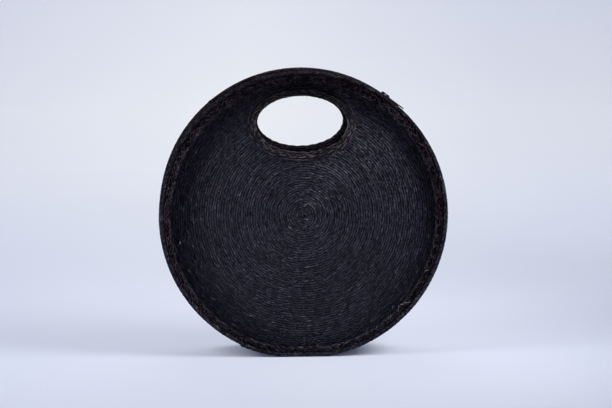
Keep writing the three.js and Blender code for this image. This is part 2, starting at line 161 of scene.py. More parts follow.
class StrawBagColours(bpy.types.PropertyGroup):
    """Colours of the finishes, as linear values."""

    straw_dark: a_colour("Straw dark", "Dye in the hollows of the fine plait", (0.015, 0.0145, 0.026))
    straw_light: a_colour("Straw light", "Worn tops of the fine plait", (0.036, 0.035, 0.058))
    plait_dark: a_colour("Plait dark", "Dye in the hollows of the broad plait", (0.0075, 0.0058, 0.0078))
    plait_light: a_colour("Plait light", "Worn tops of the broad plait", (0.038, 0.031, 0.045))
    crest_light: a_colour(
        "Crest plait", "Rubbed tops of the plait on the rim's crest", (0.045, 0.042, 0.061))
    root_light: a_colour(
        "Root plait", "Tops of the row of plait where the rim meets the panel", (0.052, 0.050, 0.072))
    wall_light: a_colour(
        "Wall plait", "Tops of the plait on the rim's wall, out of reach of wear", (0.043, 0.033, 0.045))
    handled_light: a_colour(
        "Handled plait", "Worn tops of the plait round the hand hole", (0.112, 0.100, 0.124))
    shine: a_colour("Shine", "Tint of the light that glances off dyed straw", (0.82, 0.79, 1.0))
    fleck: a_colour("Fleck", "Bare straw where the dye has not taken", (0.13, 0.125, 0.13))
    stray: a_colour("Stray straw", "Undyed straw that stands out of the panel", (0.42, 0.40, 0.40))
    cotton: a_colour("Cotton", "Lining cotton", (0.010, 0.010, 0.013))
    tape: a_colour("Zip tape", "Woven zip tape and sewing thread", (0.0075, 0.0066, 0.0088))
    metal: a_colour("Lacquered metal", "Slider, pull and stops", (0.0062, 0.0055, 0.0070))
    nylon: a_colour("Nylon", "Zip teeth", (0.0115, 0.0095, 0.0125))


class StrawBagStage(bpy.types.PropertyGroup):
    """Camera and paper."""

    azimuth: an_angle("Azimuth", "Camera's turn round the bag from straight in front", -3.3)
    elevation: an_angle("Elevation", "Camera's height over the bag's middle as an angle", 8)
    distance: a_length("Distance", "Camera to the middle of the bag", 2.0)
    view_width: a_length("View width", "Width of the picture at the bag", 0.6445)
    aim_right: a_length("Aim right", "Picture centre to the right of the bag's middle", 0.0040)
    aim_up: a_length("Aim up", "Picture centre above the bag's middle", 0.0085)
    paper: a_colour("Paper", "Pale paper that is floor and backdrop in one sweep", (0.70, 0.735, 0.83))
    floor_glow: a_colour(
        "Floor pale", "Pale tone that the camera sees in the floor round the bag", (0.64, 0.68, 0.83))
    far_glow: a_colour("Far floor pale", "The same for the floor behind the bag", (0.85, 0.885, 1.0))
    sweep_glow: a_colour("Sweep pale", "The same for the bend between floor and backdrop", (1.0, 1.0, 1.0))
    backdrop_glow: a_colour("Backdrop pale", "The same for the backdrop", (0.76, 0.79, 0.91))
    glow_share: a_share("Pale share", "Share of the pale tone in what the camera sees of the paper", 0.5)


def sizes():
    return bpy.context.scene.straw_bag_sizes


def colours():
    return bpy.context.scene.straw_bag_colours


# Shape of the bag, as in the solids

# How suddenly a panel's swell falls away at its edge
SWELL_POWER = 4


def outline_radius(angle):
    """Radius of the outline at an angle from the top, pressed flat at the foot."""
    down = -np.cos(angle)
    off_zero = np.maximum(down, 0.5)
    return np.where(down * BAG_RADIUS > CENTRE_Z, CENTRE_Z / off_zero, BAG_RADIUS)


def spoke(angle):
    """Direction away from the bag's axis at an angle from the top."""
    return np.stack([np.sin(angle), 0 * angle, np.cos(angle)], axis=-1)


def around(angle, radius, y):
    """Point at an angle from the top, a radius from the bag's axis and a depth."""
    angle, radius, y = np.broadcast_arrays(angle, radius, y)
    return np.stack([radius * np.sin(angle), y, CENTRE_Z + radius * np.cos(angle)], axis=-1)


def polar(x, z):
    """Angle from the top and radius of a point."""
    return np.arctan2(x, z - CENTRE_Z), np.hypot(x, z - CENTRE_Z)


def unit(vectors):
    return vectors / np.linalg.norm(vectors, axis=-1, keepdims=True)


def alike(direction, points):
    """One direction, the same at every point."""
    return np.broadcast_to(np.array(direction, float), points.shape)


def turned_in(angle):
    """Share by which the rim is drawn in at an angle from the top: 1 at the top, 0 at the foot."""
    return ((1 + np.cos(angle)) / 2) ** 2


def crest_at(angle):
    """Width of the rim's crest at an angle from the top."""
    return sizes().rim_crest - sizes().rim_crest_narrowing * turned_in(angle)


def recess_at(height):
    """Depth of a panel's edge behind the rim, at a height over the bag's middle."""
    return sizes().recess_middle + sizes().recess_lean * height / BAG_RADIUS


def panel_edge(angle):
    """Radius where the leaning panel meets the flared rim."""
    slope = math.tan(sizes().rim_flare)
    level = outline_radius(angle) - crest_at(angle) - slope * sizes().recess_middle
    return level / (1 + slope * sizes().recess_lean * np.cos(angle) / BAG_RADIUS)


def panel_face(angle, radius):
    """Distance of a panel's outer face from the middle plane of the bag."""
    share = np.minimum(1, radius / panel_edge(angle))
    swell = sizes().panel_swell * (1 - share ** SWELL_POWER)
    return HALF_DEPTH - recess_at(radius * np.cos(angle)) + swell


def front_face_at(x, z):
    """Face of a panel, or of the plaits on the rim's wall outside it."""
    angle, radius = polar(x, z)
    width = sizes().root_width
    depth = (outline_radius(angle) - crest_at(angle) - radius) / math.tan(sizes().rim_flare)
    wall = HALF_DEPTH - np.maximum(0, depth) + width / 2
    panel = panel_face(angle, radius)
    return np.where(radius > panel_edge(angle) - width / 2, np.maximum(wall, panel + width), panel)


def hole_oval(y):
    """Centre x and z and half sizes of the hand hole at a depth in the bag."""
    share = (y + HALF_DEPTH) / (2 * HALF_DEPTH)
    s = sizes()
    centre_x = s.back_hole_right * share - s.hole_left
    centre_z = CENTRE_Z + s.hole_height - s.back_hole_down * share
    half_width = s.hole_half_width - s.back_hole_shrink * share
    half_height = s.hole_half_height - s.back_hole_shrink * share
    return centre_x, centre_z, half_width, half_height


def hole_point(turn, y, out):
    """Point beside the hand hole's wall, and the direction straight away from the hole."""
    centre_x, centre_z, half_width, half_height = hole_oval(y)
    away = unit(np.stack([half_height * np.cos(turn), 0 * turn, half_width * np.sin(turn)], axis=-1))
    x = centre_x + half_width * np.cos(turn)
    z = centre_z + half_height * np.sin(turn)
    return np.stack([x, y + 0 * turn, z], axis=-1) + out * away, away


def hole_on_face(turn, side, out):
    """Point beside the hand hole on a panel's outer face."""
    guess, _ = hole_point(turn, side * HALF_DEPTH * np.ones_like(turn), out)
    face = panel_face(*polar(guess[:, 0], guess[:, 2]))
    return hole_point(turn, side * face, out)


# Mesh making

# The UV map that runs along every row and strand, and the length of pattern in which it starts anywhere
PLAIT_UV = "plait"
PATTERN_LENGTH = 900


def mesh_of(bm, name):
    """Turns a bmesh into a mesh and frees it."""
    mesh = bpy.data.meshes.new(name)
    bm.to_mesh(mesh)
    bm.free()
    return mesh


def add_mesh(bm, mesh):
    """Adds a loose mesh to a bmesh and drops it."""
    bm.from_mesh(mesh)
    bpy.data.meshes.remove(mesh)


def shade_smooth(mesh):
    mesh.polygons.foreach_set("use_smooth", [True] * len(mesh.polygons))


def new_straw():
    bm = bmesh.new()
    bm.loops.layers.uv.new(PLAIT_UV)
    return bm


def swept_mesh(rings, repeats, closed, pattern_start):
    """Tube through rings of points; its UV map runs along it by repeats and once round it."""
    rings = np.concatenate([rings, rings[:, :1]], axis=1)
    if closed:
        rings = np.concatenate([rings, rings[:1]], axis=0)
    stations, columns = rings.shape[:2]
    bm = new_straw()
    bmesh.ops.create_grid(bm, x_segments=stations - 1, y_segments=columns - 1, size=1, calc_uvs=True)
    mesh = mesh_of(bm, "sweep")
    places = rings.transpose(1, 0, 2).astype(np.float32)
    mesh.vertices.foreach_set("co", places.ravel())
    uv = np.zeros(len(mesh.loops) * 2, np.float32)
    mesh.uv_layers[PLAIT_UV].data.foreach_get("uv", uv)
    uv[0::2] = uv[0::2] * repeats + pattern_start
    mesh.uv_layers[PLAIT_UV].data.foreach_set("uv", uv)
    return mesh


def add_tube(bm, rings, repeats, rng, closed=False, finish=0):
    """Adds a swept tube to a bmesh, its pattern starting anywhere."""
    mesh = swept_mesh(rings, repeats, closed, PATTERN_LENGTH * rng.random())
    mesh.polygons.foreach_set("material_index", [finish] * len(mesh.polygons))
    add_mesh(bm, mesh)


def finish_piece(bm, name, node_names, finishes, body="bag"):
    """Closes a bmesh and makes it a shown piece that stands for its CAD nodes."""
    bmesh.ops.remove_doubles(bm, verts=bm.verts, dist=MERGE_DISTANCE)
    ends = [edge for edge in bm.edges if edge.is_boundary]
    if ends:
        bmesh.ops.holes_fill(bm, edges=ends, sides=0)
    bmesh.ops.recalc_face_normals(bm, faces=bm.faces)
    for vert in bm.verts:
        vert.co.z = max(vert.co.z, FLOOR_CLEARANCE)
    mesh = mesh_of(bm, name)
    if not mesh.polygons:
        raise RuntimeError(f"{name} came out empty")
    shade_smooth(mesh)
    for finish in finishes:
        mesh.materials.append(finish_named(finish))
    piece = bpy.data.objects.new(name, mesh)
    bpy.context.scene.collection.objects.link(piece)
    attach(piece, body)
    if node_names:
        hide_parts(*node_names)
    return piece


def copy_of_node(node_name):
    """bmesh of a CAD node with its loose triangles joined."""
    bm = bmesh.new()
    bm.from_mesh(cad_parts[node_name].data)
    bmesh.ops.remove_doubles(bm, verts=bm.verts, dist=SOLID_MERGE_DISTANCE)
    bmesh.ops.recalc_face_normals(bm, faces=bm.faces)
    return bm


def add_core(bm, node_name, inset):
    """Adds a shrunken copy of a CAD node as the dark body under a plait."""
    core = copy_of_node(node_name)
    core.normal_update()
    shrunk = [(vert, vert.co - vert.normal * inset) for vert in core.verts]
    for vert, place in shrunk:
        vert.co = place
    add_mesh(bm, mesh_of(core, "core"))


def rounded_block(bm, angle, place, size, rounding):
    """Adds a block with its edges taken off, placed over the bag's middle and turned about it."""
    matrix = (Matrix.Translation((0, 0, CENTRE_Z)) @ Matrix.Rotation(angle, 4, "Y")
              @ Matrix.Translation(place) @ Matrix.Diagonal((*size, 1)))
    block = bmesh.ops.create_cube(bm, size=1, matrix=matrix)
    edges = list(dict.fromkeys(edge for vert in block["verts"] for edge in vert.link_edges))
    bmesh.ops.bevel(bm, geom=edges, offset=rounding, offset_type="OFFSET", affect="EDGES",
                    segments=1, profile=0.5, material=-1)


# Rounding of metal edges, the angle past which an edge is sharp, and the angle up to which faces are one
METAL_ROUNDING = 0.0002
SHARP_ANGLE, FLAT_ANGLE = math.radians(30), math.radians(2)


def rounded_copy(node_name, piece_name, body):
    """A rigid CAD node with its hard edges rounded off."""
    bm = copy_of_node(node_name)
    bmesh.ops.dissolve_limit(bm, angle_limit=FLAT_ANGLE, verts=bm.verts, edges=bm.edges)
    sharp = [edge for edge in bm.edges if edge.is_manifold and edge.calc_face_angle() > SHARP_ANGLE]
    bmesh.ops.bevel(bm, geom=sharp, offset=METAL_ROUNDING, offset_type="OFFSET", affect="EDGES",
                    segments=2, profile=0.5, material=-1, clamp_overlap=True)
    return finish_piece(bm, piece_name, [node_name], ["black_metal"], body)


# Straw rows and plaits

# Section of a row from edge to edge: shares of its width and height, and how the crossing moves them
ROW_ACROSS = np.array([-0.5, -0.27, 0.0, 0.27, 0.5])
ROW_RISE = np.array([0.1, 0.8, 0.8, 0.8, 0.1])
ROW_BULGE = np.array([0.0, 0.3, 0.0, -0.3, 0.0])
ROW_SWAY = np.array([0.03, 0.04, 0.08, 0.04, 0.03])

# Unevenness of hand work: how much, and over how many stations it drifts
ROW_TILT, ROW_DRIFT, ROW_SWELL = (0.22, 4), (0.06, 7), (0.2, 3)
STRAND_SWELL, STRAND_DRIFT = (0.18, 6), (0.12, 9)

# Spread of the pace at which the crossings of a row follow each other
ROW_PACE = 0.35

# Strands of the narrow plaits, of the brow, and of the broad plaits on wall and hand hole
NARROW_STRANDS, BROW_STRANDS, BROAD_STRANDS = 3, 1, 5

# How much the strands of a plait overlap, and their rise and half height as shares of its thickness
STRAND_OVERLAP = 0.08
STRAND_RISE, STRAND_HALF_HEIGHT = 0.24, 0.34

# Strands of a twisted cord: distance from its line and half thickness, as shares of its thickness
CORD_STRANDS = 2
CORD_LAY, CORD_STRAND_HALF = 0.24, 0.29

# Corners of a strand's section
STRAND_SIDES = 6
STRAND_CORNERS = FULL_TURN * np.arange(STRAND_SIDES) / STRAND_SIDES


def wander(count, unevenness, rng):
    """Random values that drift from one to the next over a number of stations."""
    amount, spacing = unevenness
    knots = rng.uniform(-1, 1, count // spacing + 3)
    return amount * np.interp(np.arange(count) / spacing, np.arange(len(knots)), knots)


def fine_row(bm, centre, across, up, width, height, rng):
    """One row of fine plait: its two shoulders rise in turn as the straws cross, by hand and uneven."""
    stations = len(centre)
    per = sizes().sections_per_stitch
    turn = np.cumsum(FULL_TURN / per * (1 + ROW_PACE * rng.standard_normal(stations)))[:, None]
    tilt = wander(stations, ROW_TILT, rng)[:, None]
    drift = wander(stations, ROW_DRIFT, rng)[:, None]
    swell = 1 + wander(stations, ROW_SWELL, rng)[:, None]
    rise = swell * (ROW_RISE + ROW_BULGE * np.sin(turn))
    reach = ROW_ACROSS + ROW_SWAY * np.cos(turn) + drift
    leaning_across = across * np.cos(tilt) + up * np.sin(tilt)
    leaning_up = up * np.cos(tilt) - across * np.sin(tilt)
    width = np.broadcast_to(width, (stations,))[:, None, None]
    rings = (centre[:, None] + leaning_across[:, None] * reach[..., None] * width
             + leaning_up[:, None] * rise[..., None] * height)
    add_tube(bm, rings, stations / per, rng)


def runs_of(kept):
    """Start and end of each unbroken run of more than two kept stations."""
    edges = np.flatnonzero(np.diff(np.concatenate([[0], kept.astype(int), [0]])))
    return [(a, b) for a, b in zip(edges[0::2], edges[1::2]) if b - a > 2]


def add_strand(bm, line, up, half_width, half_height, repeats, rng, closed=True, finish=0):
    """One strand with a flat oval section whose width and height vary a little."""
    stations = len(line)
    if closed:
        along = unit(np.roll(line, -1, axis=0) - np.roll(line, 1, axis=0))
    else:
        along = unit(np.gradient(line, axis=0))
    flat = unit(np.cross(along, up))
    lift = np.cross(flat, along)
    uneven = 1 + wander(stations, STRAND_SWELL, rng)[:, None]
    half_width = np.broadcast_to(half_width, (stations,))[:, None] * uneven
    half_height = np.broadcast_to(half_height, (stations,))[:, None] * uneven
    rings = (line[:, None]
             + flat[:, None] * (np.cos(STRAND_CORNERS) * half_width)[..., None]
             + lift[:, None] * (np.sin(STRAND_CORNERS) * half_height)[..., None])
    add_tube(bm, rings, repeats, rng, closed, finish)


def broad_plait(bm, strands, periods, path, width, thickness, rng, finish=0):
    """An odd number of flat strands that cross over and under each other along a closed path."""
    centre, across, up = path
    stations = len(centre)
    width = np.broadcast_to(width, (stations,))
    thickness = np.broadcast_to(thickness, (stations,))
    strand_width = (1 + STRAND_OVERLAP) / (strands + STRAND_OVERLAP)
    for strand in range(strands):
        turn = FULL_TURN * (periods * np.arange(stations) / stations + strand / strands)
        turn = turn + wander(stations, STRAND_DRIFT, rng)
        reach = 0.5 * (1 - strand_width) * width * np.sin(turn)
        rise = thickness * (0.5 + STRAND_RISE * np.sin((strands - 1) * turn))
        line = centre + across * reach[:, None] + up * rise[:, None]
        add_strand(bm, line, up, 0.5 * strand_width * width, STRAND_HALF_HEIGHT * thickness,
                   periods * 2, rng, finish=finish)


def twisted_cord(bm, path, thickness, periods, rng, finish=0):
    """Strands twisted round each other along a closed path."""
    centre, across, up = path
    stations = len(centre)
    half = CORD_STRAND_HALF * thickness
    for strand in range(CORD_STRANDS):
        turn = FULL_TURN * (periods * np.arange(stations) / stations + strand / CORD_STRANDS)[:, None]
        line = centre + CORD_LAY * thickness * (across * np.cos(turn) + up * np.sin(turn))
        add_strand(bm, line, up, half, half, periods, rng, finish=finish)


# Materials

class Paint:
    """A node material, with short calls for the nodes that the finishes are made of."""

    def __init__(self, name):
        self.material = bpy.data.materials.new(name)
        self.material.use_nodes = True
        self.nodes = self.material.node_tree.nodes
        self.shader = self.nodes["Principled BSDF"]
        self.place = self.node("ShaderNodeTexCoord").outputs["Object"]

    def feed(self, socket, value):
        """Links an output to an input, or sets the input's own value."""
        if isinstance(value, bpy.types.NodeSocket):
            self.material.node_tree.links.new(value, socket)
        else:
            socket.default_value = value

    def surface(self, socket_name, value):
        """Feeds an input of the surface's shader."""
        self.feed(self.shader.inputs[socket_name], value)

    def node(self, kind, inputs=None, **settings):
        """New node with its settings, and its inputs by name or number."""
        node = self.nodes.new(kind)
        for name, value in settings.items():
            setattr(node, name, value)
        for key, value in (inputs or {}).items():
            self.feed(node.inputs[key], value)
        return node

    def calc(self, operation, first, second=None):
        inputs = {0: first} if second is None else {0: first, 1: second}
        return self.node("ShaderNodeMath", inputs, operation=operation).outputs[0]

    def split(self, vector):
        """The x, y and z of a vector."""
        return tuple(self.node("ShaderNodeSeparateXYZ", {"Vector": vector}).outputs)

    def level(self, axis):
        """The place along one axis."""
        return self.node("ShaderNodeSeparateXYZ", {"Vector": self.place}).outputs[axis]

    def stretched(self, vector, stretch):
        return self.node("ShaderNodeMapping", {"Vector": vector, "Scale": stretch}).outputs["Vector"]

    def noise(self, vector, scale, detail, stretch=(1, 1, 1)):
        inputs = {"Vector": self.stretched(vector, stretch), "Scale": scale, "Detail": detail}
        return self.node("ShaderNodeTexNoise", inputs).outputs["Fac"]

    def cells(self, vector, stretch):
        """A random value for each cell of a stretched cell pattern, and the distance from its middle."""
        inputs = {"Vector": self.stretched(vector, stretch), "Scale": 1}
        cells = self.node("ShaderNodeTexVoronoi", inputs, voronoi_dimensions="2D")
        channels = self.node("ShaderNodeSeparateColor", {"Color": cells.outputs["Color"]})
        return channels.outputs["Red"], cells.outputs["Distance"]

    def ramp(self, value, stops):
        """Colour ramp through (place, grey or colour) stops."""
        stops = list(stops)
        ramp = self.node("ShaderNodeValToRGB", {"Fac": value})
        elements = ramp.color_ramp.elements
        while len(elements) < len(stops):
            elements.new(0.5)
        for element, (place, colour) in zip(elements, stops):
            element.position = place
            tint = (colour,) * 3 if isinstance(colour, float) else colour
            element.color = (*tint, 1)
        return ramp.outputs["Color"]

    def mix(self, amount, first, second, mode="MIX"):
        """Mix of two colours, which are inputs 6 and 7 and output 2 of the node."""
        if not isinstance(second, bpy.types.NodeSocket):
            second = (*second, 1)
        inputs = {0: amount, 6: first, 7: second}
        return self.node("ShaderNodeMix", inputs, data_type="RGBA", blend_type=mode).outputs[2]

    def multiply(self, first, second):
        return self.mix(1.0, first, second, "MULTIPLY")

    def bump(self, height, strength, distance):
        inputs = {"Height": height, "Strength": strength, "Distance": distance}
        return self.node("ShaderNodeBump", inputs).outputs["Normal"]


def times(colour, factor):
    return tuple(factor * channel for channel in colour)


# Where the crest of a row's and of a strand's section lies in the UV map, and how far from it the edges are
ROW_V, STRAND_V = (0.4, 0.32), (0.25, 0.27)

# Lean of the straws where they leave a crest
STRAW_SLANT = 1.3

# Fineness, detail and stretch of the noise for fibres, speckle and patches of dye
FIBRE_NOISE = (2.2, 4, (0.9, 11, 1))
FUZZ_NOISE, DYE_NOISE = (800, 1), (30, 3)

# Share of each straw's own tone, the rest being its fibres, and where dark, light and brightest lie
STRAW_SHARE = 0.66
TONE_PLACES = (0.3, 0.58, 0.85)
BRIGHTEST = 2.0

# Tones between which the speckle and the patches of dye range, and how much the patches count
FUZZ_TONES, DYE_TONES = [(0.3, 0.55), (0.7, 1.0)], [(0.32, 0.7), (0.68, 1.0)]
DYE_SHARE = 0.8

# Shares of the way to its edge between which a straw turns dark with painted shade, where it meets its
# neighbours, and the few straws that took no dye
CREVICE_SHADE_PLACES = (0.35, 0.8)
BARE = [(0.98, 0.0), (0.99, 0.5)]

# How much rougher the dullest straw is than its finish says, and how much smoother the glossiest
DULL, GLOSSY = 0.2, 0.1
GLOSS_PLACES = (0.2, 0.9)

# How much even the dullest straw shines, and the strength and depth of the relief
LEAST_GLANCE = 0.5
STRAW_BUMP = (0.7, 0.0006)

# Heights between which the plait and cord round the hand hole turn darker towards the top: painted shade
# under the rim
HOLE_TOP_PAINTED_SHADE = ("Z", [(0.246, 1.0), (0.268, 0.38)])

# Heights between which the plait on the rim's crest turns darker towards the top of the bag: painted shade
CREST_TOP_PAINTED_SHADE = ("Z", [(0.19, 1.0), (0.285, 0.7)])

# Heights between which the wall of the rim turns from dark to lighter
WALL_DARKER_BELOW = ("Z", [(0.18, 0.85), (0.25, 1.0)])

# Depths between which the sleeve turns from painted shade in its front half to painted light in its back
# half
SLEEVE_PAINTED_SHADE_AND_LIGHT = ("Y", [(0.0, 0.3), (0.02, 2.0)])

# Shares of the bag's radius between which a panel turns darker towards its rim, on a shifted oval: painted
# shade of the rim, on colour and gloss
RIM_PAINTED_SHADE = [(0.72, 1.0), (0.9, 0.55)]
RIM_SHADE_WIDE, RIM_SHADE_HIGH, RIM_SHADE_SHIFT = 1.03, 0.92, -0.05

# Share by which the painted shade at the edges of a panel's rows is evened out at two heights, and the tone
# it gets
CALM_ROWS = [(0.06, 0.6), (0.16, 0.0)]
CALM_TONE = 0.62


def straw_material(name, section, dark, light, fleck, roughness, specular, crevice_shade_tone, cells,
                   crossing_bump=0.0, kept=None, rim_shade=None, calm=None):
    """Dyed straw: each straw its own tone, with painted shade at its edges, with fibres, crossings and bare
    flecks.
    """
    crest_v, edge_v = section
    paint = Paint(name)
    uv = paint.node("ShaderNodeUVMap", uv_map=PLAIT_UV).outputs["UV"]
    u, v, _ = paint.split(uv)
    off_crest = paint.calc("ABSOLUTE", paint.calc("SUBTRACT", v, crest_v))
    slant = paint.calc("ADD", u, paint.calc("MULTIPLY", off_crest, STRAW_SLANT))
    crossing = paint.calc("PINGPONG", slant, 0.5)
    slanted = paint.node("ShaderNodeCombineXYZ", {"X": slant, "Y": v}).outputs["Vector"]
    straw, rounding = paint.cells(slanted, (*cells, 1))
    fibre = paint.noise(uv, *FIBRE_NOISE)
    tone = paint.calc("ADD", paint.calc("MULTIPLY", straw, STRAW_SHARE),
                      paint.calc("MULTIPLY", fibre, 1 - STRAW_SHARE))
    tones = (dark, light, times(light, BRIGHTEST))
    grain = paint.ramp(tone, zip(TONE_PLACES, tones))
    fuzz = paint.ramp(paint.noise(paint.place, *FUZZ_NOISE), FUZZ_TONES)
    dye = paint.ramp(paint.noise(paint.place, *DYE_NOISE), DYE_TONES)
    dyed = paint.mix(DYE_SHARE, paint.multiply(grain, fuzz), dye, "MULTIPLY")
    # Painted shade: colour and gloss darken from each row's or strand's crest to its edges, where it meets
    # its neighbours
    edge = paint.ramp(paint.calc("DIVIDE", off_crest, edge_v), zip(CREVICE_SHADE_PLACES, (1.0, crevice_shade_tone)))
    if calm:
        edge = paint.mix(paint.ramp(paint.level("Z"), calm), edge, (CALM_TONE,) * 3)
    worn_and_shaded = paint.multiply(dyed, edge)
    shine = edge
    # A ramp by height or depth: painted shade towards the top for the hand hole's plait and the crest,
    # painted shade and light for the sleeve, and for the wall only darker towards the bottom
    if kept:
        axis, stops = kept
        worn_and_shaded = paint.multiply(worn_and_shaded, paint.ramp(paint.level(axis), stops))
    # Painted shade from the rim: a panel's colour and gloss darken outside an oval round its middle
    if rim_shade:
        middle = paint.ramp(rim_shade_reach(paint), rim_shade)
        worn_and_shaded = paint.multiply(worn_and_shaded, middle)
        shine = paint.multiply(edge, middle)
    paint.surface("Base Color", paint.mix(paint.ramp(straw, BARE), worn_and_shaded, fleck))
    gloss = (roughness + DULL, roughness - GLOSSY)
    paint.surface("Roughness", paint.ramp(straw, zip(GLOSS_PLACES, gloss)))
    relief = paint.calc("ADD", paint.calc("MULTIPLY", crossing, crossing_bump), fibre)
    paint.surface("Normal", paint.bump(paint.calc("SUBTRACT", relief, rounding), *STRAW_BUMP))
    if specular:
        glance = paint.calc("MULTIPLY", paint.calc("ADD", straw, LEAST_GLANCE), specular)
        paint.surface("Specular IOR Level", paint.calc("MULTIPLY", shine, glance))
    else:
        paint.surface("Specular IOR Level", 0.0)
    paint.surface("Specular Tint", (*colours().shine, 1))
    return paint.material


def rim_shade_reach(paint):
    """Distance from the middle of the oval outside which a panel gets painted shade from its rim, as a
    share of the bag's radius.
    """
    inputs = {
        0: paint.place,
        1: (RIM_SHADE_WIDE / BAG_RADIUS, 0, RIM_SHADE_HIGH / BAG_RADIUS),
        2: (RIM_SHADE_SHIFT, 0, -RIM_SHADE_HIGH * CENTRE_Z / BAG_RADIUS),
    }
    from_middle = paint.node("ShaderNodeVectorMath", inputs, operation="MULTIPLY_ADD").outputs["Vector"]
    return paint.node("ShaderNodeVectorMath", {0: from_middle}, operation="LENGTH").outputs["Value"]


# Woven cloth: noise of its lint, how far threads and lint change its tone, and how pale it gets
LINT_NOISE = (90, 3)
THREAD_TONE = 0.6
THREAD_PLACES, PALE_THREAD = (0.2, 0.95), 2.0

# Its roughness by the lint, the strength and depth of its relief, and its gloss
CLOTH_ROUGHNESS = [(0.3, 0.95), (0.7, 0.8)]
CLOTH_BUMP, CLOTH_SPECULAR = (0.5, 0.0003), 0.05


def cloth_material(name, colour, threads_per_metre, diagonal):
    """Woven cloth: two sets of threads, with a diagonal step for twill tape."""
    paint = Paint(name)
    x, y, _ = paint.split(paint.place)
    depth = paint.calc("MULTIPLY", y, threads_per_metre)
    breadth = paint.calc("MULTIPLY", x, threads_per_metre)
    stepped = paint.calc("ADD", breadth, paint.calc("MULTIPLY", depth, diagonal))
    weft = paint.calc("PINGPONG", stepped, 0.5)
    warp = paint.calc("PINGPONG", depth, 0.5)
    weave = paint.calc("ADD", weft, warp)
    lint = paint.noise(paint.place, *LINT_NOISE)
    tone = paint.calc("MULTIPLY", paint.calc("ADD", weave, lint), THREAD_TONE)
    tones = (colour, times(colour, PALE_THREAD))
    paint.surface("Base Color", paint.ramp(tone, zip(THREAD_PLACES, tones)))
    paint.surface("Roughness", paint.ramp(lint, CLOTH_ROUGHNESS))
    paint.surface("Normal", paint.bump(weave, *CLOTH_BUMP))
    paint.surface("Specular IOR Level", CLOTH_SPECULAR)
    return paint.material


# Lacquer: noise of its scuffs and rubbed patches, how much brighter the patches and rougher the scuffs are
SCUFF_NOISE, RUB_NOISE = (700, 4, (1, 0.25, 1)), (160, 2)
RUB_PLACES, RUB_BRIGHTER = (0.45, 0.8), 3.0
SCUFF_PLACES, SCUFF_ROUGHER = (0.3, 0.7), 0.18

# The strength and depth of its relief, and the tint of the light that it throws back
LACQUER_BUMP = (0.15, 0.0001)
LACQUER_TINT = (1.0, 0.84, 1.0, 1)


def lacquer_material(name, colour, specular, roughness):
    """Smooth dark finish with fine scuffs and rubbed patches."""
    paint = Paint(name)
    scuff = paint.noise(paint.place, *SCUFF_NOISE)
    rub = paint.noise(paint.place, *RUB_NOISE)
    tones = (colour, times(colour, RUB_BRIGHTER))
    gloss = (roughness, roughness + SCUFF_ROUGHER)
    paint.surface("Base Color", paint.ramp(rub, zip(RUB_PLACES, tones)))
    paint.surface("Roughness", paint.ramp(scuff, zip(SCUFF_PLACES, gloss)))
    paint.surface("Normal", paint.bump(scuff, *LACQUER_BUMP))
    paint.surface("Specular IOR Level", specular)
    paint.surface("Specular Tint", LACQUER_TINT)
    return paint.material


def make_finish(name):
    """One of the bag's own finishes."""
    c = colours()
    coil = dict(section=ROW_V, dark=c.straw_dark, light=c.straw_light, fleck=c.fleck)
    wall = dict(dark=c.plait_dark, light=c.wall_light, fleck=c.plait_light, specular=0.0, crevice_shade_tone=0.1)
    worn_and_shaded = dict(section=STRAND_V, dark=c.plait_dark, fleck=c.fleck, roughness=0.6)
    straws = {
        "coiled_straw": dict(
            coil, roughness=0.36, specular=0.34, crevice_shade_tone=0.14, cells=(2.2, 2.2), crossing_bump=1.0,
            rim_shade=RIM_PAINTED_SHADE, calm=CALM_ROWS),
        "side_straw": dict(wall, section=ROW_V, roughness=0.8, cells=(1.0, 2.0), crossing_bump=1.0),
        "wall_straw": dict(wall, section=STRAND_V, roughness=0.75, cells=(2.4, 3.0), kept=WALL_DARKER_BELOW),
        "crest_straw": dict(
            coil, section=STRAND_V, light=c.crest_light, roughness=0.7, specular=0.03, crevice_shade_tone=0.15,
            cells=(1.0, 2.0), kept=CREST_TOP_PAINTED_SHADE),
        "root_straw": dict(worn_and_shaded, light=c.root_light, specular=0.06, crevice_shade_tone=0.2, cells=(1.0, 2.0)),
        "handled_straw": dict(
            worn_and_shaded, light=c.handled_light, specular=0.03, crevice_shade_tone=0.25, cells=(6.0, 5.0), kept=HOLE_TOP_PAINTED_SHADE),
        "cord_straw": dict(
            worn_and_shaded, light=c.handled_light, specular=0.06, crevice_shade_tone=0.3, cells=(2.0, 4.0), kept=HOLE_TOP_PAINTED_SHADE),
        "sleeve_straw": dict(
            section=ROW_V, dark=c.plait_dark, light=c.plait_light, fleck=c.plait_light, roughness=0.8,
            specular=0.04, crevice_shade_tone=0.1, cells=(0.35, 3.0), crossing_bump=0.4, kept=SLEEVE_PAINTED_SHADE_AND_LIGHT),
        "bare_straw": dict(
            section=STRAND_V, dark=c.fleck, light=c.stray, fleck=c.stray, roughness=0.5,
            specular=0.3, crevice_shade_tone=0.4, cells=(2.0, 3.0)),
    }
    cloths = {
        "cotton": dict(colour=c.cotton, threads_per_metre=1500, diagonal=0.0),
        "zip_tape": dict(colour=c.tape, threads_per_metre=1300, diagonal=0.5),
    }
    lacquers = {
        "zip_teeth": dict(colour=c.nylon, specular=0.35, roughness=0.3),
        "black_metal": dict(colour=c.metal, specular=0.18, roughness=0.34),
    }
    if name in straws:
        return straw_material(name, **straws[name])
    if name in cloths:
        return cloth_material(name, **cloths[name])
    return lacquer_material(name, **lacquers[name])


MADE = {}


def finish_named(name):
    """A finish by its name, made only once."""
    if name not in MADE:
        MADE[name] = make_finish(name)
    return MADE[name]


# Operators, one for each group of like pieces

# Where a panel's rows stop: outside the hand hole, over the trim's width, and under the rim, over the pitch
HOLE_MARGIN, UNDER_RIM = 0.3, 0.3

# Radius of the knot that starts a coil, as a share of the pitch
KNOT_RADIUS = 0.6


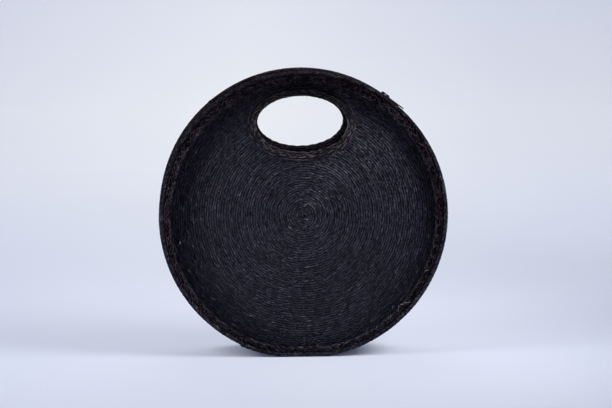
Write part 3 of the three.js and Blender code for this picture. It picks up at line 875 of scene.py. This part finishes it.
class STRAWBAG_OT_coil_panels(bpy.types.Operator):
    """Coil the fine plait into the front and back panels"""

    bl_idname = "straw_bag.coil_panels"
    bl_label = "Coil panels"

    def execute(self, context):
        for prefix, side in SIDES:
            self.coil(prefix, side)
        return {"FINISHED"}

    def coil(self, prefix, side):
        s = sizes()
        rng = np.random.default_rng(SEED + side)
        pitch = s.row_pitch
        longest = math.pi * (BAG_RADIUS - s.rim_crest) ** 2 / pitch
        walked = np.arange(pitch, longest, s.plait_step)
        turn = np.sqrt(2 * FULL_TURN * walked / pitch)
        radius = pitch * turn / FULL_TURN
        angle = -side * turn
        base = self.on_panel(angle, radius, side)
        across = unit(self.on_panel(angle, radius + s.plait_step, side) - base)
        along = unit(np.gradient(base, axis=0))
        up = np.cross(across, along)
        up = up * (side * np.sign(up[:, 1:2]))
        centre_x, centre_z, half_width, half_height = hole_oval(base[:, 1])
        margin = HOLE_MARGIN * s.trim_width
        in_hole = np.hypot((base[:, 0] - centre_x) / (half_width + margin),
                           (base[:, 2] - centre_z) / (half_height + margin)) < 1
        kept = (radius < panel_edge(angle) + UNDER_RIM * pitch) & ~in_hole
        bm = new_straw()
        for a, b in runs_of(kept):
            fine_row(bm, base[a:b], across[a:b], up[a:b], pitch * s.row_overlap, s.row_height, rng)
        start = Matrix.Translation((0, base[0, 1], CENTRE_Z))
        knot = start @ Matrix.Diagonal((pitch, s.row_height, pitch, 1))
        bmesh.ops.create_icosphere(bm, subdivisions=2, radius=KNOT_RADIUS, matrix=knot)
        finish_piece(bm, f"{prefix}_panel_coil", [f"{prefix}_panel"], ["coiled_straw"])

    def on_panel(self, angle, radius, side):
        return around(angle, radius, side * (panel_face(angle, radius) - sizes().row_height))


# Row across an end of the side band: its width over the pitch, and its depth over a row's height
END_ROW_WIDTH, END_ROW_DEPTH = 1.6, 0.4


class STRAWBAG_OT_side_wall(bpy.types.Operator):
    """Lay the rows of plait of the side band and of the two bands beside the mouth"""

    bl_idname = "straw_bag.side_wall"
    bl_label = "Side wall"

    def execute(self, context):
        start, end = MOUTH_HALF_ANGLE, FULL_TURN - MOUTH_HALF_ANGLE
        self.band("side_band", start, end, -BAND_HALF, BAND_HALF)
        self.band("front_mouth_band", -start, start, -BAND_HALF, -SLOT_HALF)
        self.band("back_mouth_band", -start, start, SLOT_HALF, BAND_HALF)
        return {"FINISHED"}

    def band(self, node_name, start, end, low, high):
        s = sizes()
        rng = np.random.default_rng(SEED + len(node_name))
        rows = round((high - low) / s.row_pitch)
        pitch = (high - low) / rows
        stations = int((end - start) * BAG_RADIUS / s.plait_step)
        angle = np.linspace(start, end, stations)
        up = spoke(angle)
        across = alike((0, 1, 0), up)
        bm = new_straw()
        for row in range(rows):
            centre = around(angle, outline_radius(angle) - s.row_height, low + (row + 0.5) * pitch)
            fine_row(bm, centre, across, up, pitch * s.row_overlap, s.row_height, rng)
        if node_name == "side_band":
            for end_angle in (start, end):
                self.bound_end(bm, end_angle, rng)
        finish_piece(bm, f"{node_name}_rows", [node_name], ["side_straw"])

    def bound_end(self, bm, angle, rng):
        """Row of plait sewn across the end of the side band, over the ends of the mouth bands."""
        s = sizes()
        y = np.arange(-BAND_HALF, BAND_HALF, s.plait_step)
        centre = around(angle, BAG_RADIUS - END_ROW_DEPTH * s.row_height, y)
        up = alike(spoke(angle), centre)
        across = alike(spoke(angle + math.pi / 2), centre)
        fine_row(bm, centre, across, up, END_ROW_WIDTH * s.row_pitch, s.row_height, rng)


# The rim's core lies this far inside its solid
RIM_CORE_INSET = 0.0009

# Plaits of the rim: depth behind its front, lean away from facing the front, and thickness
CREST_DEPTH, CREST_LEAN, CREST_THICKNESS = 0.0021, math.radians(12), 0.0024
BROW_DEPTH, BROW_LEAN, BROW_THICKNESS = 0.0018, math.radians(-8), 0.0018
FLANK_DEPTH, FLANK_LEAN, FLANK_THICKNESS = 0.0040, math.radians(90), 0.0022
ROOT_THICKNESS = 0.0022

# Width of the brow over the gap that it fills, and width and inset of the flank's plait
BROW_OVERLAP = 1.3
FLANK_WIDTH, FLANK_INSET = 0.0040, 0.0021

# Plait of the rim's wall: the depth at which it starts, how far it stands off, and its thickness,
# which is a share of its width between two limits
WALL_START, WALL_STAND_OFF = 0.0012, 0.0007
WALL_THICKNESS_SHARE, WALL_THINNEST, WALL_THICKEST = 0.2, 0.0014, 0.0024

# The row at the root: how much narrower it is at the top, and how it sits on the edge of the panel
ROOT_NARROWING, ROOT_OUT, ROOT_FORWARD = 0.2, 0.1, 0.25

# Finishes of the rim's piece by number
RIM_FINISHES = ["crest_straw", "wall_straw", "root_straw"]
WALL, ROOT = 1, 2


class STRAWBAG_OT_rim_plaits(bpy.types.Operator):
    """Plait the flared rims: a broad plait down the wall, narrow ones on crest, brow, flank and root"""

    bl_idname = "straw_bag.rim_plaits"
    bl_label = "Rim plaits"

    def execute(self, context):
        for prefix, side in SIDES:
            self.plait(prefix, side)
        return {"FINISHED"}

    def plait(self, prefix, side):
        s = sizes()
        rng = np.random.default_rng(SEED + 2 * side)
        girth = FULL_TURN * BAG_RADIUS
        stations = round(girth / s.strand_step)
        angle = FULL_TURN * np.arange(stations) / stations
        radial = spoke(angle)
        outward = alike((0, side, 0), radial)
        crest = outline_radius(angle)

        def path(radius, depth, lean):
            """Line round the bag, with directions across and up for a face that leans from the front."""
            up = outward * math.cos(lean) + radial * math.sin(lean)
            across = radial * math.cos(lean) - outward * math.sin(lean)
            return around(angle, radius, side * (HALF_DEPTH - depth)), across, up

        bm = new_straw()
        add_core(bm, f"{prefix}_rim_braid", RIM_CORE_INSET)
        narrow_periods = round(girth / s.crest_period)
        crest_width = s.crest_width - s.crest_narrowing * turned_in(angle)
        near_end = np.clip(1 - (s.lap_angle - angle) / s.lap_taper, 0, 1) * (angle < s.lap_angle)
        crest_path = path(crest + s.lap_rise * near_end - 0.5 * crest_width, CREST_DEPTH, CREST_LEAN)
        broad_plait(bm, NARROW_STRANDS, narrow_periods, crest_path, crest_width, CREST_THICKNESS, rng)

        slope = math.tan(s.rim_flare)
        wall_top = crest_at(angle) + slope * WALL_START
        brow_width = np.maximum(s.brow_width, BROW_OVERLAP * (wall_top - crest_width))
        brow_path = path(crest - crest_width - 0.5 * brow_width, BROW_DEPTH, BROW_LEAN)
        broad_plait(bm, BROW_STRANDS, narrow_periods, brow_path, brow_width, BROW_THICKNESS, rng, WALL)

        flank_path = path(crest - FLANK_INSET, FLANK_DEPTH, FLANK_LEAN)
        broad_plait(bm, NARROW_STRANDS, narrow_periods, flank_path, FLANK_WIDTH, FLANK_THICKNESS, rng, WALL)

        edge = panel_edge(angle)
        wall_end = recess_at(edge * np.cos(angle))
        middle = (WALL_START + wall_end) / 2
        wall = crest - crest_at(angle) - slope * middle + WALL_STAND_OFF
        wall_width = (wall_end - WALL_START) / math.cos(s.rim_flare)
        wall_path = path(wall, middle, s.rim_flare - math.pi / 2)
        thickness = np.clip(WALL_THICKNESS_SHARE * wall_width, WALL_THINNEST, WALL_THICKEST)
        wall_periods = round(girth / s.rim_period)
        broad_plait(bm, BROAD_STRANDS, wall_periods, wall_path, wall_width, thickness, rng, WALL)

        root_width = s.root_width * (1 - ROOT_NARROWING * turned_in(angle))
        root_lean = 0.5 * s.rim_flare - math.pi / 4
        root_path = path(edge + ROOT_OUT * root_width, wall_end - ROOT_FORWARD * root_width, root_lean)
        root_periods = round(girth / s.root_period)
        broad_plait(bm, NARROW_STRANDS, root_periods, root_path, root_width, ROOT_THICKNESS, rng, ROOT)
        finish_piece(bm, f"{prefix}_rim_plait", [f"{prefix}_rim_braid"], RIM_FINISHES)


# Trim of the hand hole: inset of its core, and gaps on both sides of its plait
TRIM_CORE_INSET = 0.0013
TRIM_EDGE_GAP, TRIM_CORD_GAP = 0.0003, 0.0010

# How far that plait is lifted off the panel, and how much thinner it is than the trim
TRIM_LIFT, TRIM_THINNER = 0.0004, 0.001

# Lift of the cord round it, as a share of its thickness
CORD_LIFT = 0.4

# Finishes of the trim's piece by number
TRIM_FINISHES = ["handled_straw", "cord_straw"]
OUTER_CORD = 1


class STRAWBAG_OT_hand_hole(bpy.types.Operator):
    """Plait the trims of the hand hole and line its sleeve with rows of fine plait"""

    bl_idname = "straw_bag.hand_hole"
    bl_label = "Hand hole"

    def execute(self, context):
        for prefix, side in SIDES:
            self.trim(prefix, side)
        self.sleeve()
        return {"FINISHED"}

    def trim(self, prefix, side):
        s = sizes()
        rng = np.random.default_rng(SEED + 3 * side)
        plait_width = s.trim_width - s.cord_thickness - TRIM_CORD_GAP
        length = math.pi * (s.hole_half_width + s.hole_half_height + s.trim_width)
        stations = round(length / s.strand_step)
        turn = FULL_TURN * np.arange(stations) / stations
        bm = new_straw()
        add_core(bm, f"{prefix}_handle_trim", TRIM_CORE_INSET)
        centre, across = hole_on_face(turn, side, 0.5 * plait_width + TRIM_EDGE_GAP)
        up = alike((0, side, 0), centre)
        lifted = (centre + up * TRIM_LIFT, across, up)
        thickness = s.trim_height - TRIM_THINNER
        periods = round(length / s.trim_period)
        broad_plait(bm, BROAD_STRANDS, periods, lifted, plait_width, thickness, rng)
        centre, across = hole_on_face(turn, side, s.trim_width - 0.5 * s.cord_thickness)
        lifted = (centre + up * CORD_LIFT * s.cord_thickness, across, up)
        twisted_cord(bm, lifted, s.cord_thickness, round(length / s.cord_period), rng, OUTER_CORD)
        nodes = [f"{prefix}_handle_trim"]
        finish_piece(bm, f"{prefix}_handle_plait", nodes, TRIM_FINISHES)

    def sleeve(self):
        s = sizes()
        rng = np.random.default_rng(SEED)
        length = math.pi * (s.hole_half_width + s.hole_half_height)
        turn = np.linspace(0, FULL_TURN, int(length / s.plait_step))
        front_face = hole_on_face(turn, FRONT, 0.0)[0][:, 1]
        back_face = hole_on_face(turn, BACK, 0.0)[0][:, 1]
        rows = round(float(np.mean(back_face - front_face)) / s.row_pitch)
        width = (back_face - front_face) / rows * s.row_overlap
        bm = new_straw()
        for row in range(rows):
            share = (row + 0.5) / rows
            y = front_face + share * (back_face - front_face)
            tucked = s.sleeve_tuck if row in (0, rows - 1) else 0.0
            edge, away = hole_point(turn, y, s.row_height + tucked)
            fine_row(bm, edge, alike((0, 1, 0), edge), -away, width, s.row_height, rng)
        finish_piece(bm, "handle_sleeve_rows", ["handle_sleeve"], ["sleeve_straw"])


class STRAWBAG_OT_lining(bpy.types.Operator):
    """Sew in the cotton lining, stretched over the inside of the straw walls"""

    bl_idname = "straw_bag.lining"
    bl_label = "Lining"

    def execute(self, context):
        for prefix, _ in SIDES:
            piece = self.cloth(f"{prefix}_lining")
        piece = self.cloth("side_lining")
        return {"FINISHED"}

    def cloth(self, node_name):
        bm = copy_of_node(node_name)
        return finish_piece(bm, f"{node_name}_cloth", [node_name], ["cotton"])


# Zip teeth: length along the chain and shift of a row, both over the pitch, and rounding
TOOTH_LENGTH, TOOTH_STAGGER = 0.55, 0.25
TOOTH_ROUNDING = 0.00035

# Cord under the teeth: half sizes over a tooth's reach and thickness, and sections along it
BEAD_HALF_WIDTH, BEAD_HALF_HEIGHT = 0.3, 0.35
BEAD_SECTIONS = 60


class STRAWBAG_OT_zip_chain(bpy.types.Operator):
    """Make the zip's tapes, teeth and stops"""

    bl_idname = "straw_bag.zip_chain"
    bl_label = "Zip chain"

    def execute(self, context):
        for prefix, side in SIDES:
            tape = copy_of_node(f"{prefix}_zip_tape")
            finish_piece(tape, f"{prefix}_zip_tape_cloth", [f"{prefix}_zip_tape"], ["zip_tape"])
            self.teeth(prefix, side)
            rounded_copy(f"{prefix}_zip_stop", f"{prefix}_zip_stop_clip", "bag")
        rounded_copy("zip_end_stop", "zip_end_stop_clip", "bag")
        return {"FINISHED"}

    def teeth(self, prefix, side):
        s = sizes()
        low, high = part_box(f"{prefix}_zip_teeth")
        stop_low, stop_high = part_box(f"{prefix}_zip_stop")
        tip, base = s.tooth_tip, max(abs(low.y), abs(high.y))
        thickness = stop_high.y - stop_low.y
        radius = CHAIN_TOP_RADIUS - thickness / 2
        count = int(2 * CHAIN_HALF_ANGLE * radius / s.tooth_pitch)
        step = 2 * CHAIN_HALF_ANGLE / count
        place = (0, side * (tip + base) / 2, radius)
        size = (TOOTH_LENGTH * s.tooth_pitch, base - tip, thickness)
        bm = bmesh.new()
        for tooth in range(count):
            angle = -CHAIN_HALF_ANGLE + (tooth + 0.5 + TOOTH_STAGGER * side) * step
            rounded_block(bm, angle, place, size, TOOTH_ROUNDING)
        self.bead(bm, radius, side, tip, base, thickness)
        finish_piece(bm, f"{prefix}_zip_teeth_row", [f"{prefix}_zip_teeth"], ["zip_teeth"])

    def bead(self, bm, radius, side, tip, base, thickness):
        """Cord under the teeth that ties them along the tape's edge."""
        angle = np.linspace(-CHAIN_HALF_ANGLE, CHAIN_HALF_ANGLE, BEAD_SECTIONS)
        half_width = BEAD_HALF_WIDTH * (base - tip)
        y = side * (base - half_width) + half_width * np.cos(STRAND_CORNERS)
        lift = BEAD_HALF_HEIGHT * thickness * np.sin(STRAND_CORNERS)
        rng = np.random.default_rng(SEED)
        rings = around(angle[:, None], radius + lift[None, :], y[None, :])
        add_tube(bm, rings, repeats=1, rng=rng)


# Blocks of the slider's lock: where they start and end on each side of the pull's bar, and their depth
LOCK_BAR_ROOM, LOCK_REACH, LOCK_DEPTH = 0.0011, 0.0042, 0.0018


class STRAWBAG_OT_slider(bpy.types.Operator):
    """Round off the zip's slider and its pull, and set the lock in the slider's bail"""

    bl_idname = "straw_bag.slider"
    bl_label = "Slider and pull"

    def execute(self, context):
        rounded_copy("zip_slider", "zip_slider_body", "slider")
        rounded_copy("zip_pull", "zip_pull_tab", "pull")
        self.lock()
        return {"FINISHED"}

    def lock(self):
        """Blocks of the slider's lock in the window of its bail, on both sides of the pull's bar."""
        s = sizes()
        angle = CHAIN_HALF_ANGLE - (s.slider_length / 2 - s.sew_gap) / CHAIN_TOP_RADIUS
        size = (LOCK_REACH - LOCK_BAR_ROOM, LOCK_DEPTH, s.bail_window)
        bm = bmesh.new()
        for way in (-1, 1):
            place = (way * (LOCK_BAR_ROOM + LOCK_REACH) / 2, 0, CHAIN_TOP_RADIUS + s.bail_rise)
            rounded_block(bm, angle, place, size, METAL_ROUNDING)
        finish_piece(bm, "zip_slider_lock", [], ["black_metal"], "slider")


# Stray straws on the front: degrees from the top, radius, heading off the row in degrees, length, bend
STRAYS = (
    (358, 0.0085, -73, 0.0143, 2.6),
    (150, 0.0035, -135, 0.0027, 0.2),
    (347, 0.0175, -3, 0.0022, 0.2),
    (135.6, 0.1337, -43, 0.0035, 0.1),
    (133.6, 0.1383, -28, 0.0061, -0.2),
    (133.3, 0.1389, -161, 0.0106, 0.2),
    (115, 0.1405, -150, 0.0040, 0.2),
    (258.5, 0.1311, -168, 0.0030, 0.1),
)

# Sections of a stray straw, its half thickness and how much it tapers, and how it lifts off the front
STRAY_SECTIONS = 12
STRAY_HALF, STRAY_TAPER = 0.0005, 0.6
STRAY_CLEARANCE, STRAY_LIFT = 0.0004, 0.12

# Stitches beside the mouth: length, gap and thickness, distance from the slot, rounding over the thickness
STITCH_LENGTH, STITCH_GAP, STITCH_THICKNESS = 0.0022, 0.0014, 0.0005
STITCH_INSET, STITCH_ROUNDING = 0.002, 0.3


class STRAWBAG_OT_loose_ends(bpy.types.Operator):
    """Lay the stray straws on the front panel and stitch the mouth bands to the zip"""

    bl_idname = "straw_bag.loose_ends"
    bl_label = "Loose ends and stitches"

    def execute(self, context):
        self.strays()
        for prefix, side in SIDES:
            self.stitches(prefix, side)
        return {"FINISHED"}

    def strays(self):
        rng = np.random.default_rng(SEED)
        up = np.array([0.0, FRONT, 0.0])
        share = np.linspace(0, 1, STRAY_SECTIONS)
        half = STRAY_HALF * (1 - STRAY_TAPER * share)
        bm = new_straw()
        for degrees, radius, heading, length, bend in STRAYS:
            angle = math.radians(degrees)
            turns = angle + math.radians(90 + heading) + bend * share
            x = radius * math.sin(angle) + length * np.cumsum(np.sin(turns)) / STRAY_SECTIONS
            z = CENTRE_Z + radius * math.cos(angle) + length * np.cumsum(np.cos(turns)) / STRAY_SECTIONS
            y = FRONT * (front_face_at(x, z) + STRAY_CLEARANCE + STRAY_LIFT * length * share)
            line = np.stack([x, y, z], axis=-1)
            add_strand(bm, line, up, half, half, repeats=2, rng=rng, closed=False)
        finish_piece(bm, "stray_straws", [], ["bare_straw"])

    def stitches(self, prefix, side):
        count = int(2 * MOUTH_HALF_ANGLE * BAG_RADIUS / (STITCH_LENGTH + STITCH_GAP))
        place = (0, side * (SLOT_HALF + STITCH_INSET), BAG_RADIUS)
        size = (STITCH_LENGTH, STITCH_THICKNESS, STITCH_THICKNESS)
        bm = bmesh.new()
        for stitch in range(1, count):
            angle = MOUTH_HALF_ANGLE * (2 * stitch / count - 1)
            rounded_block(bm, angle, place, size, STITCH_ROUNDING * STITCH_THICKNESS)
        finish_piece(bm, f"{prefix}_zip_stitches", [], ["zip_tape"])


# The paper: a floor from front to back that bends up into a backdrop
PAPER_HALF_WIDTH, PAPER_FRONT, PAPER_BACK, PAPER_HEIGHT = 9.0, -12.0, 2.4, 3.2
PAPER_BEND, PAPER_BEND_STEPS = 0.8, 16

# The paper's grain, roughness and gloss
PAPER_NOISE, PAPER_PLACES, PAPER_SHADE = (3, 2), (0.3, 0.7), 0.985
PAPER_ROUGHNESS, PAPER_SPECULAR = 0.9, 0.1

# Tones of its pale glow from the middle out to the sides
ASIDE_TONES = [(0.0, 1.0), (0.55, (0.82, 0.84, 0.93))]

# Where the far floor's and the bend's pale tones lie, as shares of the way back
FAR_FLOOR, SWEEP = 0.32, 0.81

# How near to the bag the pale glow fades into a painted contact shadow, and its tones from sheltered to
# open floor
CONTACT_DISTANCE, CONTACT_SAMPLES = 0.04, 8
CONTACT_SHADOW_TONES = [(0.12, (0.10, 0.115, 0.18)), (0.6, 1.0)]

# Soft lights: name, place, aim, size, spread in degrees, watts
LIGHTS = (
    ("right_softbox", (0.55, -0.22, 0.62), (0.0, 0.0, 0.17), 0.35, 80, 1.55),
    ("left_softbox", (-1.02, -0.34, 0.70), (0.0, 0.0, 0.15), 0.35, 80, 1.7),
    ("front_softbox", (-0.2, -2.4, 0.25), (0.0, 0.0, 0.17), 1.5, 180, 8),
    ("right_back_softbox", (1.5, 0.75, 0.9), (0.1, -0.1, 0.0), 1.2, 180, 2.5),
    ("left_back_softbox", (-1.5, 0.75, 0.9), (-0.1, -0.1, 0.0), 1.2, 180, 2.5),
    ("overhead_softbox", (0.0, 0.5, 1.9), (0.0, 0.0, 0.0), 2.0, 180, 2.5),
    ("paper_light", (0.0, 1.4, 1.9), (0.0, 2.3, 0.4), 1.4, 180, 26),
)

# Light of the room, and the width of the camera's sensor in millimetres
ROOM_COLOUR, ROOM_STRENGTH = (0.93, 0.96, 1.0, 1), 0.14
SENSOR_WIDTH = 36


def aimed(direction):
    """Turn of a light or camera that looks along a direction."""
    return direction.to_track_quat("-Z", "Y").to_euler()


def paper_material():
    """Pale paper: part of what the camera sees of it is light, part a glow with a painted contact shadow
    close to the bag.
    """
    stage = bpy.context.scene.straw_bag_stage
    paint = Paint("pale_paper")
    grain = paint.noise(paint.place, *PAPER_NOISE)
    shades = (times(stage.paper, PAPER_SHADE), stage.paper)
    paint.surface("Base Color", paint.ramp(grain, zip(PAPER_PLACES, shades)))
    paint.surface("Roughness", PAPER_ROUGHNESS)
    paint.surface("Specular IOR Level", PAPER_SPECULAR)
    x, y, _ = paint.split(paint.place)
    tones = [(0.0, stage.floor_glow), (FAR_FLOOR, stage.far_glow),
             (SWEEP, stage.sweep_glow), (1.0, stage.backdrop_glow)]
    tone = paint.ramp(paint.calc("DIVIDE", y, PAPER_BACK), tones)
    tone = paint.multiply(tone, paint.ramp(paint.calc("ABSOLUTE", x), ASIDE_TONES))
    # Painted contact shadow: the glow darkens where the bag is near
    near = {"Distance": CONTACT_DISTANCE}
    shelter = paint.node("ShaderNodeAmbientOcclusion", near, samples=CONTACT_SAMPLES).outputs["AO"]
    tone = paint.multiply(tone, paint.ramp(shelter, CONTACT_SHADOW_TONES))
    glow = paint.node("ShaderNodeEmission", {"Color": tone}).outputs["Emission"]
    rays = paint.node("ShaderNodeLightPath").outputs
    seen = paint.calc("MAXIMUM", rays["Is Camera Ray"], rays["Is Glossy Ray"])
    seen = paint.calc("MAXIMUM", seen, rays["Is Transmission Ray"])
    share = paint.calc("MULTIPLY", seen, stage.glow_share)
    blend = paint.node("ShaderNodeMixShader", {"Fac": share, 1: paint.shader.outputs["BSDF"], 2: glow})
    paint.feed(paint.nodes["Material Output"].inputs["Surface"], blend.outputs["Shader"])
    return paint.material


class STRAWBAG_OT_stage(bpy.types.Operator):
    """Set up the paper sweep, the soft lights and the camera"""

    bl_idname = "straw_bag.stage"
    bl_label = "Stage"

    def execute(self, context):
        self.paper()
        for light in LIGHTS:
            self.light(*light)
        self.room()
        self.camera(context)
        context.scene.view_settings.view_transform = "Standard"
        return {"FINISHED"}

    def paper(self):
        """Floor that sweeps up into a backdrop, made by pulling one line of points along."""
        bend_start = PAPER_BACK - PAPER_BEND
        turns = np.linspace(0, math.pi / 2, PAPER_BEND_STEPS + 1)[1:]
        bend = [(bend_start + PAPER_BEND * math.sin(turn), PAPER_BEND * (1 - math.cos(turn)))
                for turn in turns]
        profile = [(PAPER_FRONT, 0.0), (bend_start, 0.0), *bend, (PAPER_BACK, PAPER_HEIGHT)]
        bm = bmesh.new()
        line = [bm.verts.new((-PAPER_HALF_WIDTH, y, z)) for y, z in profile]
        edges = [bm.edges.new(pair) for pair in zip(line, line[1:])]
        pulled = bmesh.ops.extrude_edge_only(bm, edges=edges)
        moved = [item for item in pulled["geom"] if isinstance(item, bmesh.types.BMVert)]
        bmesh.ops.translate(bm, verts=moved, vec=(2 * PAPER_HALF_WIDTH, 0, 0))
        bmesh.ops.recalc_face_normals(bm, faces=bm.faces)
        mesh = mesh_of(bm, "paper_sweep")
        shade_smooth(mesh)
        mesh.materials.append(paper_material())
        sweep = bpy.data.objects.new("paper_sweep", mesh)
        bpy.context.scene.collection.objects.link(sweep)

    def light(self, name, place, aim, size, spread, watts):
        lamp = bpy.data.lights.new(name, "AREA")
        lamp.shape = "SQUARE"
        lamp.size = size
        lamp.spread = math.radians(spread)
        lamp.energy = watts
        holder = bpy.data.objects.new(name, lamp)
        holder.location = place
        holder.rotation_euler = aimed(Vector(aim) - Vector(place))
        bpy.context.scene.collection.objects.link(holder)

    def room(self):
        world = bpy.data.worlds.new("studio")
        world.use_nodes = True
        ambient = world.node_tree.nodes["Background"]
        ambient.inputs["Color"].default_value = ROOM_COLOUR
        ambient.inputs["Strength"].default_value = ROOM_STRENGTH
        bpy.context.scene.world = world

    def camera(self, context):
        stage = context.scene.straw_bag_stage
        turn, rise = stage.azimuth, stage.elevation
        back = Vector((math.sin(turn) * math.cos(rise), -math.cos(turn) * math.cos(rise), math.sin(rise)))
        right = Vector((math.cos(turn), math.sin(turn), 0))
        above = right.cross(-back)
        aim = Vector((0, 0, CENTRE_Z)) + right * stage.aim_right + above * stage.aim_up
        lens = bpy.data.cameras.new("camera")
        lens.sensor_width = SENSOR_WIDTH
        lens.lens = SENSOR_WIDTH * stage.distance / stage.view_width
        camera = bpy.data.objects.new("camera", lens)
        camera.location = aim + back * stage.distance
        camera.rotation_euler = aimed(-back)
        context.scene.collection.objects.link(camera)
        context.scene.camera = camera


OPERATORS = (
    STRAWBAG_OT_coil_panels,
    STRAWBAG_OT_side_wall,
    STRAWBAG_OT_rim_plaits,
    STRAWBAG_OT_hand_hole,
    STRAWBAG_OT_lining,
    STRAWBAG_OT_zip_chain,
    STRAWBAG_OT_slider,
    STRAWBAG_OT_loose_ends,
    STRAWBAG_OT_stage,
)


class STRAWBAG_PT_panel(bpy.types.Panel):
    """Buttons for the bag's pieces"""

    bl_idname = "STRAWBAG_PT_panel"
    bl_label = "Straw bag"
    bl_space_type = "VIEW_3D"
    bl_region_type = "UI"
    bl_category = "Straw bag"

    def draw(self, context):
        for operator in OPERATORS:
            self.layout.operator(operator.bl_idname)


GROUPS = (
    ("straw_bag_sizes", StrawBagSizes),
    ("straw_bag_colours", StrawBagColours),
    ("straw_bag_stage", StrawBagStage),
)


def register():
    for name, group in GROUPS:
        bpy.utils.register_class(group)
        setattr(bpy.types.Scene, name, PointerProperty(type=group))
    for item in (*OPERATORS, STRAWBAG_PT_panel):
        bpy.utils.register_class(item)


def unregister():
    for item in (STRAWBAG_PT_panel, *reversed(OPERATORS)):
        bpy.utils.unregister_class(item)
    for name, group in reversed(GROUPS):
        delattr(bpy.types.Scene, name)
        bpy.utils.unregister_class(group)


def main():
    register()
    bpy.ops.straw_bag.coil_panels()
    bpy.ops.straw_bag.side_wall()
    bpy.ops.straw_bag.rim_plaits()
    bpy.ops.straw_bag.hand_hole()
    bpy.ops.straw_bag.lining()
    bpy.ops.straw_bag.zip_chain()
    bpy.ops.straw_bag.slider()
    bpy.ops.straw_bag.loose_ends()
    bpy.ops.straw_bag.stage()


if __name__ == "__main__":
    main()
